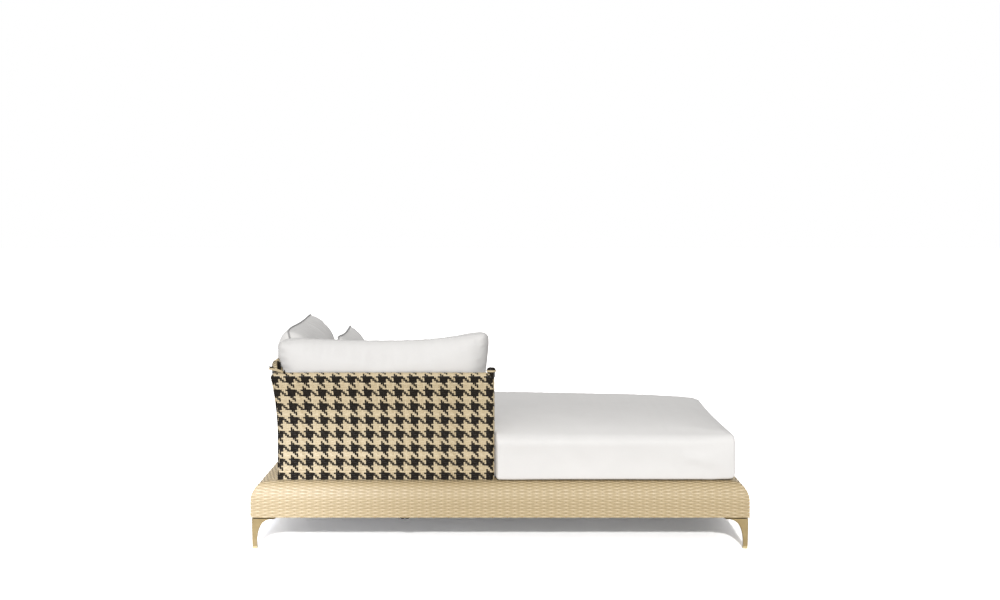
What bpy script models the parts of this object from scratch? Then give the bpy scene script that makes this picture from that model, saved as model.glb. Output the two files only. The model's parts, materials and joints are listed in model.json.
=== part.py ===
"""Outdoor daybed: a woven platform on four cast legs, an L-shaped woven back and loose cushions.

Metres, +Z up, +X along the platform, -Y towards the long back panel, origin on the floor below the middle.
"""

import math

import bmesh
import bpy
from mathutils import Matrix, Vector
from mathutils.bvhtree import BVHTree

# Platform
PLATFORM_LENGTH = 2.0
PLATFORM_DEPTH = 1.0
PLATFORM_RISE = 0.138
SHOULDER_DEPTH = 0.055
SHOULDER_DROP = 0.072
SKIN_WALL = 0.004
CONTACT_GAP = 0.0003

# Platform frame
TUBE_SIZE = 0.025
TUBE_WALL = 0.002
GUSSET_SIDE = 0.06
GUSSET_CHAMFER = 0.03
GUSSET_THICKNESS = 0.005
RIGHT_CROSSBAR_INSET = 0.116

# Legs
LEG_HEIGHT = 0.1157
LEG_TOP_WIDTH = 0.094
LEG_SWEEP_FOOT_WIDTH = 0.02
LEG_FOOT_WIDTH = 0.018
LEG_TOP_INSET = 0.004
LEG_FOOT_INSET = 0.008
LEG_LIP = 0.002
LEG_SWEEP_POWER = 0.47
LEG_SQUARENESS = 9.0
LEG_RING_BIAS = 2.2
GLIDE_HEIGHT = 0.01
GLIDE_WIDTH = 0.0192
GLIDE_ROUNDING = 0.0025
PEG_RADIUS = 0.004
PEG_LENGTH = 0.012

# Fasteners
LEG_BOLT_RADIUS = 0.003
LEG_BOLT_HEAD_RADIUS = 0.0055
LEG_BOLT_HEAD_HEIGHT = 0.004
LEG_BOLT_REACH = 0.004
LEG_BOLT_NEAR = 0.048
LEG_BOLT_FAR = 0.072
POST_BOLT_RADIUS = 0.004
POST_BOLT_HEAD_RADIUS = 0.007
POST_BOLT_HEAD_HEIGHT = 0.005
POST_BOLT_REACH = 0.014
BOLT_CLEARANCE = 0.0004

# Link bracket under the near edge
BRACKET_X = -0.381
BRACKET_WIDTH = 0.038
BRACKET_DEPTH = 0.022
BRACKET_PLATE = 0.0025
BRACKET_DROP = 0.006
BRACKET_LUG_DEPTH = 0.008
BRACKET_LUG_GAP = 0.0019
BRACKET_SCREW_RADIUS = 0.002
BRACKET_SCREW_HEAD_RADIUS = 0.004
BRACKET_SCREW_HEAD_HEIGHT = 0.0022

# Back panels
PANEL_THICKNESS = 0.038
PANEL_WALL = 0.003
NEAR_PANEL_SETBACK = 0.065
END_PANEL_SETBACK = 0.099
NEAR_PANEL_LENGTH = 0.861
END_PANEL_FAR_SETBACK = 0.065
NEAR_RIM_HEIGHT = 0.70
END_RIM_HEIGHT = 0.743
RIM_RISE_LENGTH = 0.06
KNOB_RISE = 0.019
KNOB_STEP = 0.006
FLARE_START = 0.417
FLARE_RADIUS = 1.42
POST_CLEARANCE = 0.0008
POST_WALL = 0.0025
POST_FOOT = 0.02
PANEL_RAIL_WIDTH = 0.024
PANEL_RAIL_HEIGHT = 0.02

# Seat cushion
SEAT_HEIGHT = 0.191
SEAT_CROWN = 0.052
SEAT_CROWN_FALL = 0.38
SEAT_FULLNESS_ALONG = 8
SEAT_FULLNESS_ACROSS = 6
SEAT_EDGE_RADIUS = 0.034
SEAT_END_RADIUS = 0.016
SEAT_DRAW_IN = 0.008
SEAT_CORNER_EASE = 0.3
SEAT_NEAR_SETBACK = 0.05
SEAT_FAR_SETBACK = 0.05
SEAT_RIGHT_SETBACK = 0.0475
SEAT_NOTCH_BLEND = 0.012
SOFT_GAP = 0.0007

# Back cushion along the near panel
BACK_CUSHION_SQUEEZE = 0.015
BACK_CUSHION_HEIGHT = 0.385
BACK_CUSHION_THICKNESS = 0.155
BACK_CUSHION_LEAN = math.radians(5.0)
BACK_CUSHION_END_GAP = 0.024
BACK_CUSHION_DRAW_IN = 0.05
BACK_CUSHION_EAR = 0.027
BACK_CUSHION_CORNER = 0.018

# Back cushion along the end panel
END_CUSHION_HEIGHT = 0.427
END_CUSHION_THICKNESS = 0.18
END_CUSHION_LEAN = math.radians(15.0)
END_CUSHION_NEAR_GAP = 0.014
END_CUSHION_FAR_OVERRUN = 0.003
END_CUSHION_TOP_OVERHANG = 0.002
END_CUSHION_DRAW_IN = 0.04
END_CUSHION_CORNER = 0.012
CUSHION_SINK = 0.012

# Knife-edge cushion form
CUSHION_FULLNESS_ALONG = 6
CUSHION_FULLNESS_UP = 4
CUSHION_CORNER_POWER = 5
CUSHION_EAR_POWER = 3

# Throw pillow
PILLOW_WIDTH = 0.45
PILLOW_HEIGHT = 0.375
PILLOW_THICKNESS = 0.14
PILLOW_LEAN = math.radians(9.0)
PILLOW_Y = 0.115
PILLOW_DRAW_IN = 0.07
PILLOW_CORNER = 0.006

# Facets
ARC_STEPS = 6
ROUND_SIDES = 12
LEG_SIDES = 16
LEG_RINGS = 11
PANEL_SIDE_RINGS = 10
SOFT_COLUMNS = 22
SOFT_ROWS = 16
SEAT_ROWS = 14
SEAT_COLUMNS = 18
SEAT_END_STEPS = 3
SEAT_LAYERS = 6
PANEL_STATIONS = 8
NOTCH_STEPS = 3
EDGE_DENSITY = 0.8
TOP_DENSITY = 0.5

# Derived planes and lines
HALF_X = PLATFORM_LENGTH / 2
HALF_Y = PLATFORM_DEPTH / 2
UNDERSIDE = LEG_HEIGHT + GLIDE_HEIGHT + CONTACT_GAP
DECK_TOP = UNDERSIDE + PLATFORM_RISE
DECK_UNDER = DECK_TOP - SKIN_WALL
LEG_TOP = UNDERSIDE - CONTACT_GAP
LEG_BOTTOM = LEG_TOP - LEG_HEIGHT + CONTACT_GAP
RAIL_OUTER = SKIN_WALL + CONTACT_GAP
RAIL_INNER = RAIL_OUTER + TUBE_SIZE
UPRIGHT_NEAR = RAIL_INNER + CONTACT_GAP
UPRIGHT_FAR = UPRIGHT_NEAR + TUBE_SIZE
CORNER_X = -HALF_X + END_PANEL_SETBACK + PANEL_THICKNESS / 2
CORNER_Y = -HALF_Y + NEAR_PANEL_SETBACK + PANEL_THICKNESS / 2
NEAR_PANEL_END_X = CORNER_X + NEAR_PANEL_LENGTH
END_PANEL_END_Y = HALF_Y - END_PANEL_FAR_SETBACK
BACK_CUSHION_LENGTH = NEAR_PANEL_LENGTH - BACK_CUSHION_END_GAP + BACK_CUSHION_SQUEEZE
PANEL_FOOT = DECK_TOP + CONTACT_GAP
PANEL_HALF = PANEL_THICKNESS / 2
POST_RADIUS = PANEL_HALF - PANEL_WALL - POST_CLEARANCE
NEAR_END_POST_X = NEAR_PANEL_END_X - PANEL_HALF
NEAR_MID_POST_X = (CORNER_X + NEAR_END_POST_X) / 2
END_FAR_POST_Y = END_PANEL_END_Y - PANEL_HALF
RIGHT_CROSSBAR_X = HALF_X - RIGHT_CROSSBAR_INSET
CROSSBAR_XS = (
    CORNER_X,
    NEAR_MID_POST_X,
    NEAR_END_POST_X,
    (NEAR_END_POST_X + RIGHT_CROSSBAR_X) / 2,
    RIGHT_CROSSBAR_X,
)
SEAT_FOOT = DECK_TOP + CONTACT_GAP


def clear_scene():
    for obj in list(bpy.data.objects):
        bpy.data.objects.remove(obj, do_unlink=True)


def make_material(name, color, roughness, metallic):
    material = bpy.data.materials.new(name)
    material.use_nodes = True
    shader = material.node_tree.nodes["Principled BSDF"]
    shader.inputs["Base Color"].default_value = (*color, 1.0)
    shader.inputs["Roughness"].default_value = roughness
    shader.inputs["Metallic"].default_value = metallic
    material.diffuse_color = (*color, 1.0)
    return material


def add_object(name, bm, material, smooth_angle=None):
    """Turns a bmesh into a named object with outward faces."""
    bmesh.ops.recalc_face_normals(bm, faces=bm.faces)
    mesh = bpy.data.meshes.new(name)
    bm.to_mesh(mesh)
    bm.free()
    mesh.materials.append(material)
    if smooth_angle is not None:
        mesh.shade_smooth()
        mesh.set_sharp_from_angle(angle=smooth_angle)
    obj = bpy.data.objects.new(name, mesh)
    bpy.context.collection.objects.link(obj)
    return obj


def add_layers(bm, rings):
    """Skins successive closed rings of points with quads and returns their vertices."""
    layers = [[bm.verts.new(point) for point in ring] for ring in rings]
    for low, high in zip(layers, layers[1:]):
        for i in range(len(low)):
            j = (i + 1) % len(low)
            bm.faces.new((low[i], low[j], high[j], high[i]))
    return layers


def bridge(bm, first, second):
    for i in range(len(first)):
        j = (i + 1) % len(first)
        bm.faces.new((first[i], first[j], second[j], second[i]))


def solid(name, rings, material, smooth_angle=None):
    """A closed loft through rings."""
    bm = bmesh.new()
    layers = add_layers(bm, rings)
    bm.faces.new(layers[0])
    bm.faces.new(layers[-1])
    return add_object(name, bm, material, smooth_angle)


def tube(name, outer, inner, material, smooth_angle=None):
    """A hollow loft, open at both ends."""
    bm = bmesh.new()
    outside = add_layers(bm, outer)
    inside = add_layers(bm, inner)
    bridge(bm, outside[0], inside[0])
    bridge(bm, outside[-1], inside[-1])
    return add_object(name, bm, material, smooth_angle)


def cup(name, outer, inner, material, smooth_angle=None):
    """A hollow loft, closed at its first rings and open at its last ones."""
    bm = bmesh.new()
    outside = add_layers(bm, outer)
    inside = add_layers(bm, inner)
    bm.faces.new(outside[0])
    bm.faces.new(inside[0])
    bridge(bm, outside[-1], inside[-1])
    return add_object(name, bm, material, smooth_angle)


def rectangle(half_x, half_y, z):
    return [
        Vector((-half_x, -half_y, z)),
        Vector((half_x, -half_y, z)),
        Vector((half_x, half_y, z)),
        Vector((-half_x, half_y, z)),
    ]


def circle(center, radius, sides=ROUND_SIDES):
    turns = [2 * math.pi * i / sides for i in range(sides)]
    return [Vector(center) + Vector((radius * math.cos(t), radius * math.sin(t), 0)) for t in turns]


def squircle(center, half, squareness, sides=LEG_SIDES):
    """A square ring with softened corners."""
    ring = []
    for i in range(sides):
        turn = 2 * math.pi * i / sides
        c, s = math.cos(turn), math.sin(turn)
        reach = half / (abs(c) ** squareness + abs(s) ** squareness) ** (1 / squareness)
        ring.append(Vector(center) + Vector((reach * c, reach * s, 0)))
    return ring


def box_tube(name, low, high, along, material):
    """A square tube that fills a box, open at both ends along one axis (0 for X, 1 for Y, 2 for Z)."""
    across = [axis for axis in range(3) if axis != along]

    def ring(end, wall):
        points = []
        for side_a, side_b in ((0, 0), (1, 0), (1, 1), (0, 1)):
            point = [0.0, 0.0, 0.0]
            point[along] = end
            for axis, side in zip(across, (side_a, side_b)):
                point[axis] = high[axis] - wall if side else low[axis] + wall
            points.append(Vector(point))
        return points

    ends = (low[along], high[along])
    outer = [ring(end, 0.0) for end in ends]
    inner = [ring(end, TUBE_WALL) for end in ends]
    return tube(name, outer, inner, material)


def bolt(name, seat, toward, shank, radius, head_radius, head_height, material):
    """A bolt whose head bears on the seat point and whose shank runs along Z, up (1) or down (-1)."""
    foot = Vector(seat) - Vector((0, 0, toward * head_height))
    tip = Vector(seat) + Vector((0, 0, toward * shank))
    hexagon = []
    for i in range(ROUND_SIDES):
        turn = 2 * math.pi * i / ROUND_SIDES
        flat = math.cos((turn % (math.pi / 3)) - math.pi / 6)
        hexagon.append(head_radius * math.cos(math.pi / 6) / flat)
    turns = [2 * math.pi * i / ROUND_SIDES for i in range(ROUND_SIDES)]
    across = [Vector((r * math.cos(t), r * math.sin(t), 0)) for r, t in zip(hexagon, turns)]
    rings = [
        [foot + offset for offset in across],
        [Vector(seat) + offset for offset in across],
        circle(seat, radius),
        circle(tip, radius),
    ]
    return solid(name, rings, material)


def bore(name, center, radius, low, high, targets):
    """Cuts one vertical round hole through every target."""
    bm = bmesh.new()
    rings = [circle((center[0], center[1], z), radius) for z in (low, high)]
    layers = add_layers(bm, rings)
    bm.faces.new(layers[0])
    bm.faces.new(layers[-1])
    cutter = add_object(name, bm, bpy.data.materials["cutter"])
    cutter.hide_render = True
    cutter.display_type = "WIRE"
    for target in targets:
        cut = target.modifiers.new(name, "BOOLEAN")
        cut.operation = "DIFFERENCE"
        cut.solver = "EXACT"
        cut.object = cutter


def shoulder_fall(inset):
    """How far the skin's faceted inner face lies below the deck's underside, at an inset from the side."""
    reach = max(0.0, SHOULDER_DEPTH - inset) / (SHOULDER_DEPTH - SKIN_WALL)
    if reach == 0.0:
        return 0.0
    inner_drop = SHOULDER_DROP - SKIN_WALL
    facet_sag = 2 * inner_drop * (1 - math.cos(math.pi / 4 / ARC_STEPS))
    return inner_drop * (1 - math.sqrt(max(0.0, 1 - reach**2))) + facet_sag


CROSSBAR_TOP = DECK_UNDER - shoulder_fall(UPRIGHT_FAR + CONTACT_GAP) - CONTACT_GAP


def build_platform(finish):
    """Woven skin with rounded shoulders, and the welded tube frame that carries it."""

    def skin_rings(wall):
        center = DECK_TOP - SHOULDER_DROP
        rings = []
        for step in range(ARC_STEPS, -1, -1):
            turn = math.pi / 2 * step / ARC_STEPS
            inset = SHOULDER_DEPTH - (SHOULDER_DEPTH - wall) * math.cos(turn)
            level = center + (SHOULDER_DROP - wall) * math.sin(turn)
            rings.append(rectangle(HALF_X - inset, HALF_Y - inset, level))
        rings.append(rectangle(HALF_X - wall, HALF_Y - wall, UNDERSIDE))
        return rings

    made = {"base_weave": cup("base_weave", skin_rings(0.0), skin_rings(SKIN_WALL), finish["tan_weave"])}

    rail_low, rail_high = UNDERSIDE, UNDERSIDE + TUBE_SIZE
    long_end = HALF_X - RAIL_OUTER
    short_end = HALF_Y - RAIL_INNER - CONTACT_GAP
    for name, side in (("near", -1), ("far", 1)):
        ys = sorted((side * (HALF_Y - RAIL_OUTER), side * (HALF_Y - RAIL_INNER)))
        low = (-long_end, ys[0], rail_low)
        high = (long_end, ys[1], rail_high)
        made[f"lower_rail_{name}"] = box_tube(f"lower_rail_{name}", low, high, 0, finish["frame"])
    for name, side in (("left", -1), ("right", 1)):
        xs = sorted((side * (HALF_X - RAIL_OUTER), side * (HALF_X - RAIL_INNER)))
        low = (xs[0], -short_end, rail_low)
        high = (xs[1], short_end, rail_high)
        made[f"lower_rail_{name}"] = box_tube(f"lower_rail_{name}", low, high, 1, finish["frame"])

    # The upper rails lie under the shoulder, as high as its curve lets their outer edge go.
    upper_high = DECK_UNDER - shoulder_fall(UPRIGHT_NEAR) - CONTACT_GAP
    upper_low = upper_high - TUBE_SIZE
    upper_end = HALF_X - UPRIGHT_NEAR
    for name, side in (("near", -1), ("far", 1)):
        ys = sorted((side * (HALF_Y - UPRIGHT_NEAR), side * (HALF_Y - UPRIGHT_FAR)))
        low = (-upper_end, ys[0], upper_low)
        high = (upper_end, ys[1], upper_high)
        made[f"upper_rail_{name}"] = box_tube(f"upper_rail_{name}", low, high, 0, finish["frame"])

    bar_end = HALF_Y - UPRIGHT_FAR - CONTACT_GAP
    for number, x in enumerate(CROSSBAR_XS, 1):
        low = (x - TUBE_SIZE / 2, -bar_end, CROSSBAR_TOP - TUBE_SIZE)
        high = (x + TUBE_SIZE / 2, bar_end, CROSSBAR_TOP)
        made[f"deck_crossbar_{number}"] = box_tube(f"deck_crossbar_{number}", low, high, 1, finish["frame"])

    gusset_top = UNDERSIDE + GUSSET_THICKNESS
    upright_top = upper_low - CONTACT_GAP
    for y_name, y_side in (("near", -1), ("far", 1)):
        ys = sorted((y_side * (HALF_Y - UPRIGHT_NEAR), y_side * (HALF_Y - UPRIGHT_FAR)))
        name = f"upright_{y_name}_middle"
        low = (-TUBE_SIZE / 2, ys[0], UNDERSIDE)
        high = (TUBE_SIZE / 2, ys[1], upright_top)
        made[name] = box_tube(name, low, high, 2, finish["frame"])
        for x_name, x_side in (("left", -1), ("right", 1)):
            xs = sorted((x_side * (HALF_X - UPRIGHT_NEAR), x_side * (HALF_X - UPRIGHT_FAR)))
            name = f"upright_{y_name}_{x_name}"
            low = (xs[0], ys[0], gusset_top + CONTACT_GAP)
            high = (xs[1], ys[1], upright_top)
            made[name] = box_tube(name, low, high, 2, finish["frame"])

            corner = Vector((x_side * (HALF_X - UPRIGHT_NEAR), y_side * (HALF_Y - UPRIGHT_NEAR), 0))
            plan = (
                (0, 0),
                (GUSSET_SIDE, 0),
                (GUSSET_SIDE, GUSSET_CHAMFER),
                (GUSSET_CHAMFER, GUSSET_SIDE),
                (0, GUSSET_SIDE),
            )
            rings = [
                [corner + Vector((-x_side * a, -y_side * b, z)) for a, b in plan]
                for z in (UNDERSIDE, gusset_top)
            ]
            name = f"gusset_{y_name}_{x_name}"
            made[name] = solid(name, rings, finish["frame"])
    return made


def build_legs(made, finish):
    """Cast corner legs that sweep in from a wide top plate to a slim foot, with their glides and bolts."""
    gusset_top = UNDERSIDE + GUSSET_THICKNESS
    for y_name, y_side in (("near", -1), ("far", 1)):
        for x_name, x_side in (("left", -1), ("right", 1)):
            place = f"{y_name}_{x_name}"

            def ring(z, inset, width):
                reach = inset + width / 2
                center = (x_side * (HALF_X - reach), y_side * (HALF_Y - reach), z)
                return squircle(center, width / 2, LEG_SQUARENESS)

            sweep_length = LEG_TOP - LEG_LIP - LEG_BOTTOM
            rings = [ring(LEG_TOP, LEG_TOP_INSET, LEG_TOP_WIDTH)]
            for step in range(LEG_RINGS):
                drop = (step / (LEG_RINGS - 1)) ** LEG_RING_BIAS
                sweep = (1 - drop**LEG_SWEEP_POWER) ** (1 / LEG_SWEEP_POWER)
                slim = LEG_SWEEP_FOOT_WIDTH + (LEG_FOOT_WIDTH - LEG_SWEEP_FOOT_WIDTH) * drop
                width = slim + (LEG_TOP_WIDTH - LEG_SWEEP_FOOT_WIDTH) * sweep
                inset = LEG_TOP_INSET + (LEG_FOOT_INSET - LEG_TOP_INSET) * drop
                rings.append(ring(LEG_TOP - LEG_LIP - drop * sweep_length, inset, width))
            leg = solid(f"leg_{place}", rings, finish["gold"], math.radians(35))
            made[leg.name] = leg

            foot_reach = LEG_FOOT_INSET + LEG_FOOT_WIDTH / 2
            foot = (x_side * (HALF_X - foot_reach), y_side * (HALF_Y - foot_reach))
            body_top = LEG_BOTTOM - CONTACT_GAP
            half = GLIDE_WIDTH / 2
            glide_rings = [
                squircle((*foot, 0.0), half - GLIDE_ROUNDING, LEG_SQUARENESS),
                squircle((*foot, GLIDE_ROUNDING), half, LEG_SQUARENESS),
                squircle((*foot, body_top), half, LEG_SQUARENESS),
                circle((*foot, body_top), PEG_RADIUS, LEG_SIDES),
                circle((*foot, body_top + PEG_LENGTH), PEG_RADIUS, LEG_SIDES),
            ]
            made[f"glide_{place}"] = solid(f"glide_{place}", glide_rings, finish["glide"])
            peg_high = body_top + PEG_LENGTH + CONTACT_GAP
            bore(f"cut_peg_{place}", foot, PEG_RADIUS + CONTACT_GAP, 0.0, peg_high, [leg])

            spots = ((LEG_BOLT_NEAR, LEG_BOLT_FAR), (LEG_BOLT_FAR, LEG_BOLT_NEAR))
            for number, (from_x, from_y) in enumerate(spots, 1):
                spot = (x_side * (HALF_X - from_x), y_side * (HALF_Y - from_y))
                name = f"leg_bolt_{place}_{number}"
                seat = (*spot, gusset_top + CONTACT_GAP)
                shank = GUSSET_THICKNESS + 2 * CONTACT_GAP + LEG_BOLT_REACH
                made[name] = bolt(
                    name, seat, -1, shank, LEG_BOLT_RADIUS, LEG_BOLT_HEAD_RADIUS, LEG_BOLT_HEAD_HEIGHT,
                    finish["steel"],
                )
                radius = LEG_BOLT_RADIUS + BOLT_CLEARANCE
                targets = [made[f"gusset_{place}"], leg]
                low, high = LEG_BOTTOM + LEG_HEIGHT / 2, gusset_top + GUSSET_SIDE
                bore(f"cut_{name}", spot, radius, low, high, targets)


def build_bracket(made, finish):
    """Small clip with two rounded lugs that hangs under the near rail and ties on a neighbouring seat."""
    top = UNDERSIDE - CONTACT_GAP
    front = -HALF_Y + RAIL_OUTER
    half = BRACKET_WIDTH / 2
    lug = half / 2
    lug_reach = lug - BRACKET_LUG_GAP / 2

    def ring(y, drop):
        points = [(half, 0.0), (half, -BRACKET_PLATE)]
        for center in (lug, -lug):
            for step in range(ARC_STEPS):
                turn = math.pi * step / (ARC_STEPS - 1)
                depth = BRACKET_PLATE + (drop - BRACKET_PLATE) * math.sin(turn)
                points.append((center + lug_reach * math.cos(turn), -depth))
        points += [(-half, -BRACKET_PLATE), (-half, 0.0)]
        return [Vector((BRACKET_X + x, y, top + z)) for x, z in points]

    rings = [
        ring(front, BRACKET_DROP),
        ring(front + BRACKET_LUG_DEPTH, BRACKET_DROP),
        ring(front + BRACKET_LUG_DEPTH + BRACKET_PLATE, BRACKET_PLATE),
        ring(front + BRACKET_DEPTH, BRACKET_PLATE),
    ]
    bracket = solid("link_bracket", rings, finish["dark_metal"])
    made["link_bracket"] = bracket

    screw_y = front + BRACKET_DEPTH - BRACKET_SCREW_HEAD_RADIUS - BRACKET_PLATE
    seat = (BRACKET_X, screw_y, top - BRACKET_PLATE - CONTACT_GAP)
    shank = BRACKET_PLATE + 2 * CONTACT_GAP + 2 * TUBE_WALL
    made["link_bracket_screw"] = bolt(
        "link_bracket_screw", seat, 1, shank, BRACKET_SCREW_RADIUS, BRACKET_SCREW_HEAD_RADIUS,
        BRACKET_SCREW_HEAD_HEIGHT, finish["steel"],
    )
    radius = BRACKET_SCREW_RADIUS + BOLT_CLEARANCE
    targets = [bracket, made["lower_rail_near"]]
    bore("cut_bracket_screw", (BRACKET_X, screw_y), radius, 0.0, UNDERSIDE + TUBE_SIZE / 2, targets)


def smooth_step(value, low, high):
    share = min(1.0, max(0.0, (value - low) / (high - low)))
    return share * share * (3 - 2 * share)


def spread(start, stop, count):
    return [start + (stop - start) * i / count for i in range(count + 1)]


def flare(z):
    """How far a back panel has curved outward at height z."""
    rise = max(0.0, z - FLARE_START)
    return FLARE_RADIUS - math.sqrt(FLARE_RADIUS**2 - rise**2)


def flare_slope(z):
    rise = max(0.0, z - FLARE_START)
    return rise / math.sqrt(FLARE_RADIUS**2 - rise**2)


def near_place(along, outward, z):
    return Vector((along, CORNER_Y - outward, z))


def end_place(along, outward, z):
    return Vector((CORNER_X - outward, along, z))


def near_rim(along):
    return NEAR_RIM_HEIGHT


def end_rim(along):
    """The end panel's rim climbs from the corner and then runs level."""
    share = smooth_step(along, CORNER_Y, CORNER_Y + RIM_RISE_LENGTH)
    return NEAR_RIM_HEIGHT + (END_RIM_HEIGHT - NEAR_RIM_HEIGHT) * share


def knob(along, end):
    """The skin stands up in a round knob over the post at a panel's free end."""
    return KNOB_RISE * smooth_step(along, end - PANEL_THICKNESS - KNOB_STEP, end - PANEL_THICKNESS)


def panel_section(half, rim, foot):
    """Closed outline of a panel in (outward, z): up the outer side, over the rim and down the inner one."""
    crest = rim - half
    heights = [foot + (crest - foot) * i / PANEL_SIDE_RINGS for i in range(PANEL_SIDE_RINGS + 1)]
    points = [(flare(z) + half, z) for z in heights]
    for step in range(1, ARC_STEPS):
        turn = math.pi * step / ARC_STEPS
        points.append((flare(crest) + half * math.cos(turn), crest + half * math.sin(turn)))
    points += [(flare(z) - half, z) for z in reversed(heights)]
    return points


def panel_rings(place, corner, end, rim, half, foot, lower, mitre_shift):
    """Rings of a panel from its mitred corner to its rounded free end."""
    section = panel_section(half, rim(corner) - lower, foot)
    rings = [[place(corner - out + mitre_shift, out, z) for out, z in section]]
    round_start = end - PANEL_HALF
    knob_start = end - PANEL_THICKNESS - KNOB_STEP
    stations = spread(corner + PANEL_THICKNESS, knob_start, PANEL_STATIONS)
    stations += [knob_start + KNOB_STEP / 2, knob_start + KNOB_STEP, round_start]
    for along in stations:
        crown = rim(along) + knob(along, end) - lower
        rings.append([place(along, out, z) for out, z in panel_section(half, crown, foot)])
    for step in range(1, ARC_STEPS):
        turn = math.pi / 2 * step / ARC_STEPS
        thin = half * math.cos(turn)
        along = round_start + half * math.sin(turn)
        section = panel_section(thin, rim(along) + knob(along, end) - lower - (half - thin), foot)
        rings.append([place(along, out, z) for out, z in section])
    return rings


def build_panel_skin(name, place, corner, end, rim, finish):
    skin_rings = panel_rings(place, corner, end, rim, PANEL_HALF, PANEL_FOOT, 0.0, CONTACT_GAP)
    skin = solid(name, skin_rings, finish["houndstooth"], math.radians(40))
    below = PANEL_FOOT - PANEL_WALL
    hollow_rings = panel_rings(
        place, corner, end, rim, PANEL_HALF - PANEL_WALL, below, PANEL_WALL, -PANEL_THICKNESS
    )
    hollow = solid(f"cut_{name}", hollow_rings, bpy.data.materials["cutter"])
    hollow.hide_render = True
    hollow.display_type = "WIRE"
    cut = skin.modifiers.new("hollow", "BOOLEAN")
    cut.operation = "DIFFERENCE"
    cut.solver = "EXACT"
    cut.object = hollow
    return skin


def build_top_tube(name, place, corner, end, rim, finish):
    """Round tube inside the rolled rim, mitred at the corner."""
    stop = end - PANEL_HALF
    stations = spread(corner + PANEL_THICKNESS, stop, PANEL_STATIONS)

    def ring(along, radius, mitred):
        crest = rim(along) - PANEL_HALF
        points = []
        for i in range(ROUND_SIDES):
            turn = 2 * math.pi * i / ROUND_SIDES
            out = flare(crest) + radius * math.cos(turn)
            where = corner - out + CONTACT_GAP if mitred else along
            points.append(place(where, out, crest + radius * math.sin(turn)))
        return points

    def rings(radius):
        return [ring(corner, radius, True)] + [ring(along, radius, False) for along in stations]

    return tube(name, rings(POST_RADIUS), rings(POST_RADIUS - POST_WALL), finish["frame"], math.radians(40))


def build_post(name, top, center, finish):
    """Post that follows the flare: closed at its foot for the bolt, open under the top tube."""
    steps = PANEL_SIDE_RINGS

    def rings(radius, start):
        heights = [start + (top - start) * i / steps for i in range(steps + 1)]
        return [circle(center(z), radius) for z in heights]

    outer = rings(POST_RADIUS, PANEL_FOOT)
    inner = rings(POST_RADIUS - POST_WALL, PANEL_FOOT + POST_FOOT)
    return cup(name, outer, inner, finish["frame"], math.radians(40))


def build_panel_rail(name, place, start, stop, finish):
    """Rail along a panel's foot, between two posts."""
    half = PANEL_RAIL_WIDTH / 2
    low_z, high_z = PANEL_FOOT, PANEL_FOOT + PANEL_RAIL_HEIGHT

    def ring(along, wall):
        corners = (
            (-half + wall, low_z + wall),
            (half - wall, low_z + wall),
            (half - wall, high_z - wall),
            (-half + wall, high_z - wall),
        )
        return [place(along, out, z) for out, z in corners]

    ends = (start + POST_RADIUS + CONTACT_GAP, stop - POST_RADIUS - CONTACT_GAP)
    outer = [ring(end, 0.0) for end in ends]
    inner = [ring(end, TUBE_WALL) for end in ends]
    return tube(name, outer, inner, finish["frame"])


def build_back(made, finish):
    """The L-shaped back: two woven panels over a tube frame that is bolted to the deck crossbars."""
    near = (near_place, CORNER_X, NEAR_PANEL_END_X, near_rim)
    far = (end_place, CORNER_Y, END_PANEL_END_Y, end_rim)
    made["near_panel_weave"] = build_panel_skin("near_panel_weave", *near, finish)
    made["end_panel_weave"] = build_panel_skin("end_panel_weave", *far, finish)
    made["near_top_tube"] = build_top_tube("near_top_tube", *near, finish)
    made["end_top_tube"] = build_top_tube("end_top_tube", *far, finish)

    def under_tube(rim):
        return rim - PANEL_HALF - POST_RADIUS - CONTACT_GAP

    posts = {
        "corner_post": (
            under_tube(NEAR_RIM_HEIGHT),
            lambda z: (CORNER_X - flare(z), CORNER_Y - flare(z), z),
        ),
        "near_mid_post": (
            under_tube(NEAR_RIM_HEIGHT),
            lambda z: near_place(NEAR_MID_POST_X, flare(z), z),
        ),
        "near_end_post": (
            under_tube(NEAR_RIM_HEIGHT),
            lambda z: near_place(NEAR_END_POST_X, flare(z), z),
        ),
        "end_far_post": (
            under_tube(END_RIM_HEIGHT),
            lambda z: end_place(END_FAR_POST_Y, flare(z), z),
        ),
    }
    crossbars = {
        "corner_post": "deck_crossbar_1",
        "near_mid_post": "deck_crossbar_2",
        "near_end_post": "deck_crossbar_3",
        "end_far_post": "deck_crossbar_1",
    }
    bar_low = CROSSBAR_TOP - TUBE_SIZE
    for name, (top, center) in posts.items():
        post = build_post(name, top, center, finish)
        made[name] = post
        x, y, _ = center(PANEL_FOOT)
        seat = (x, y, bar_low - CONTACT_GAP)
        shank = PANEL_FOOT - seat[2] + POST_BOLT_REACH
        bolt_name = f"{name}_bolt"
        made[bolt_name] = bolt(
            bolt_name, seat, 1, shank, POST_BOLT_RADIUS, POST_BOLT_HEAD_RADIUS, POST_BOLT_HEAD_HEIGHT,
            finish["steel"],
        )
        targets = [made["base_weave"], made[crossbars[name]], post]
        low = bar_low - POST_BOLT_HEAD_HEIGHT
        high = PANEL_FOOT + (POST_BOLT_REACH + POST_FOOT) / 2
        bore(f"cut_{bolt_name}", (x, y), POST_BOLT_RADIUS + BOLT_CLEARANCE, low, high, targets)

    rails = (
        ("near_foot_rail_1", near_place, CORNER_X, NEAR_MID_POST_X),
        ("near_foot_rail_2", near_place, NEAR_MID_POST_X, NEAR_END_POST_X),
        ("end_foot_rail", end_place, CORNER_Y, END_FAR_POST_Y),
    )
    for name, place, start, stop in rails:
        made[name] = build_panel_rail(name, place, start, stop, finish)


def near_inner_y(z):
    """The near panel's inner face, which the cushions lie against."""
    return CORNER_Y - flare(min(z, NEAR_RIM_HEIGHT)) + PANEL_HALF


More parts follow.
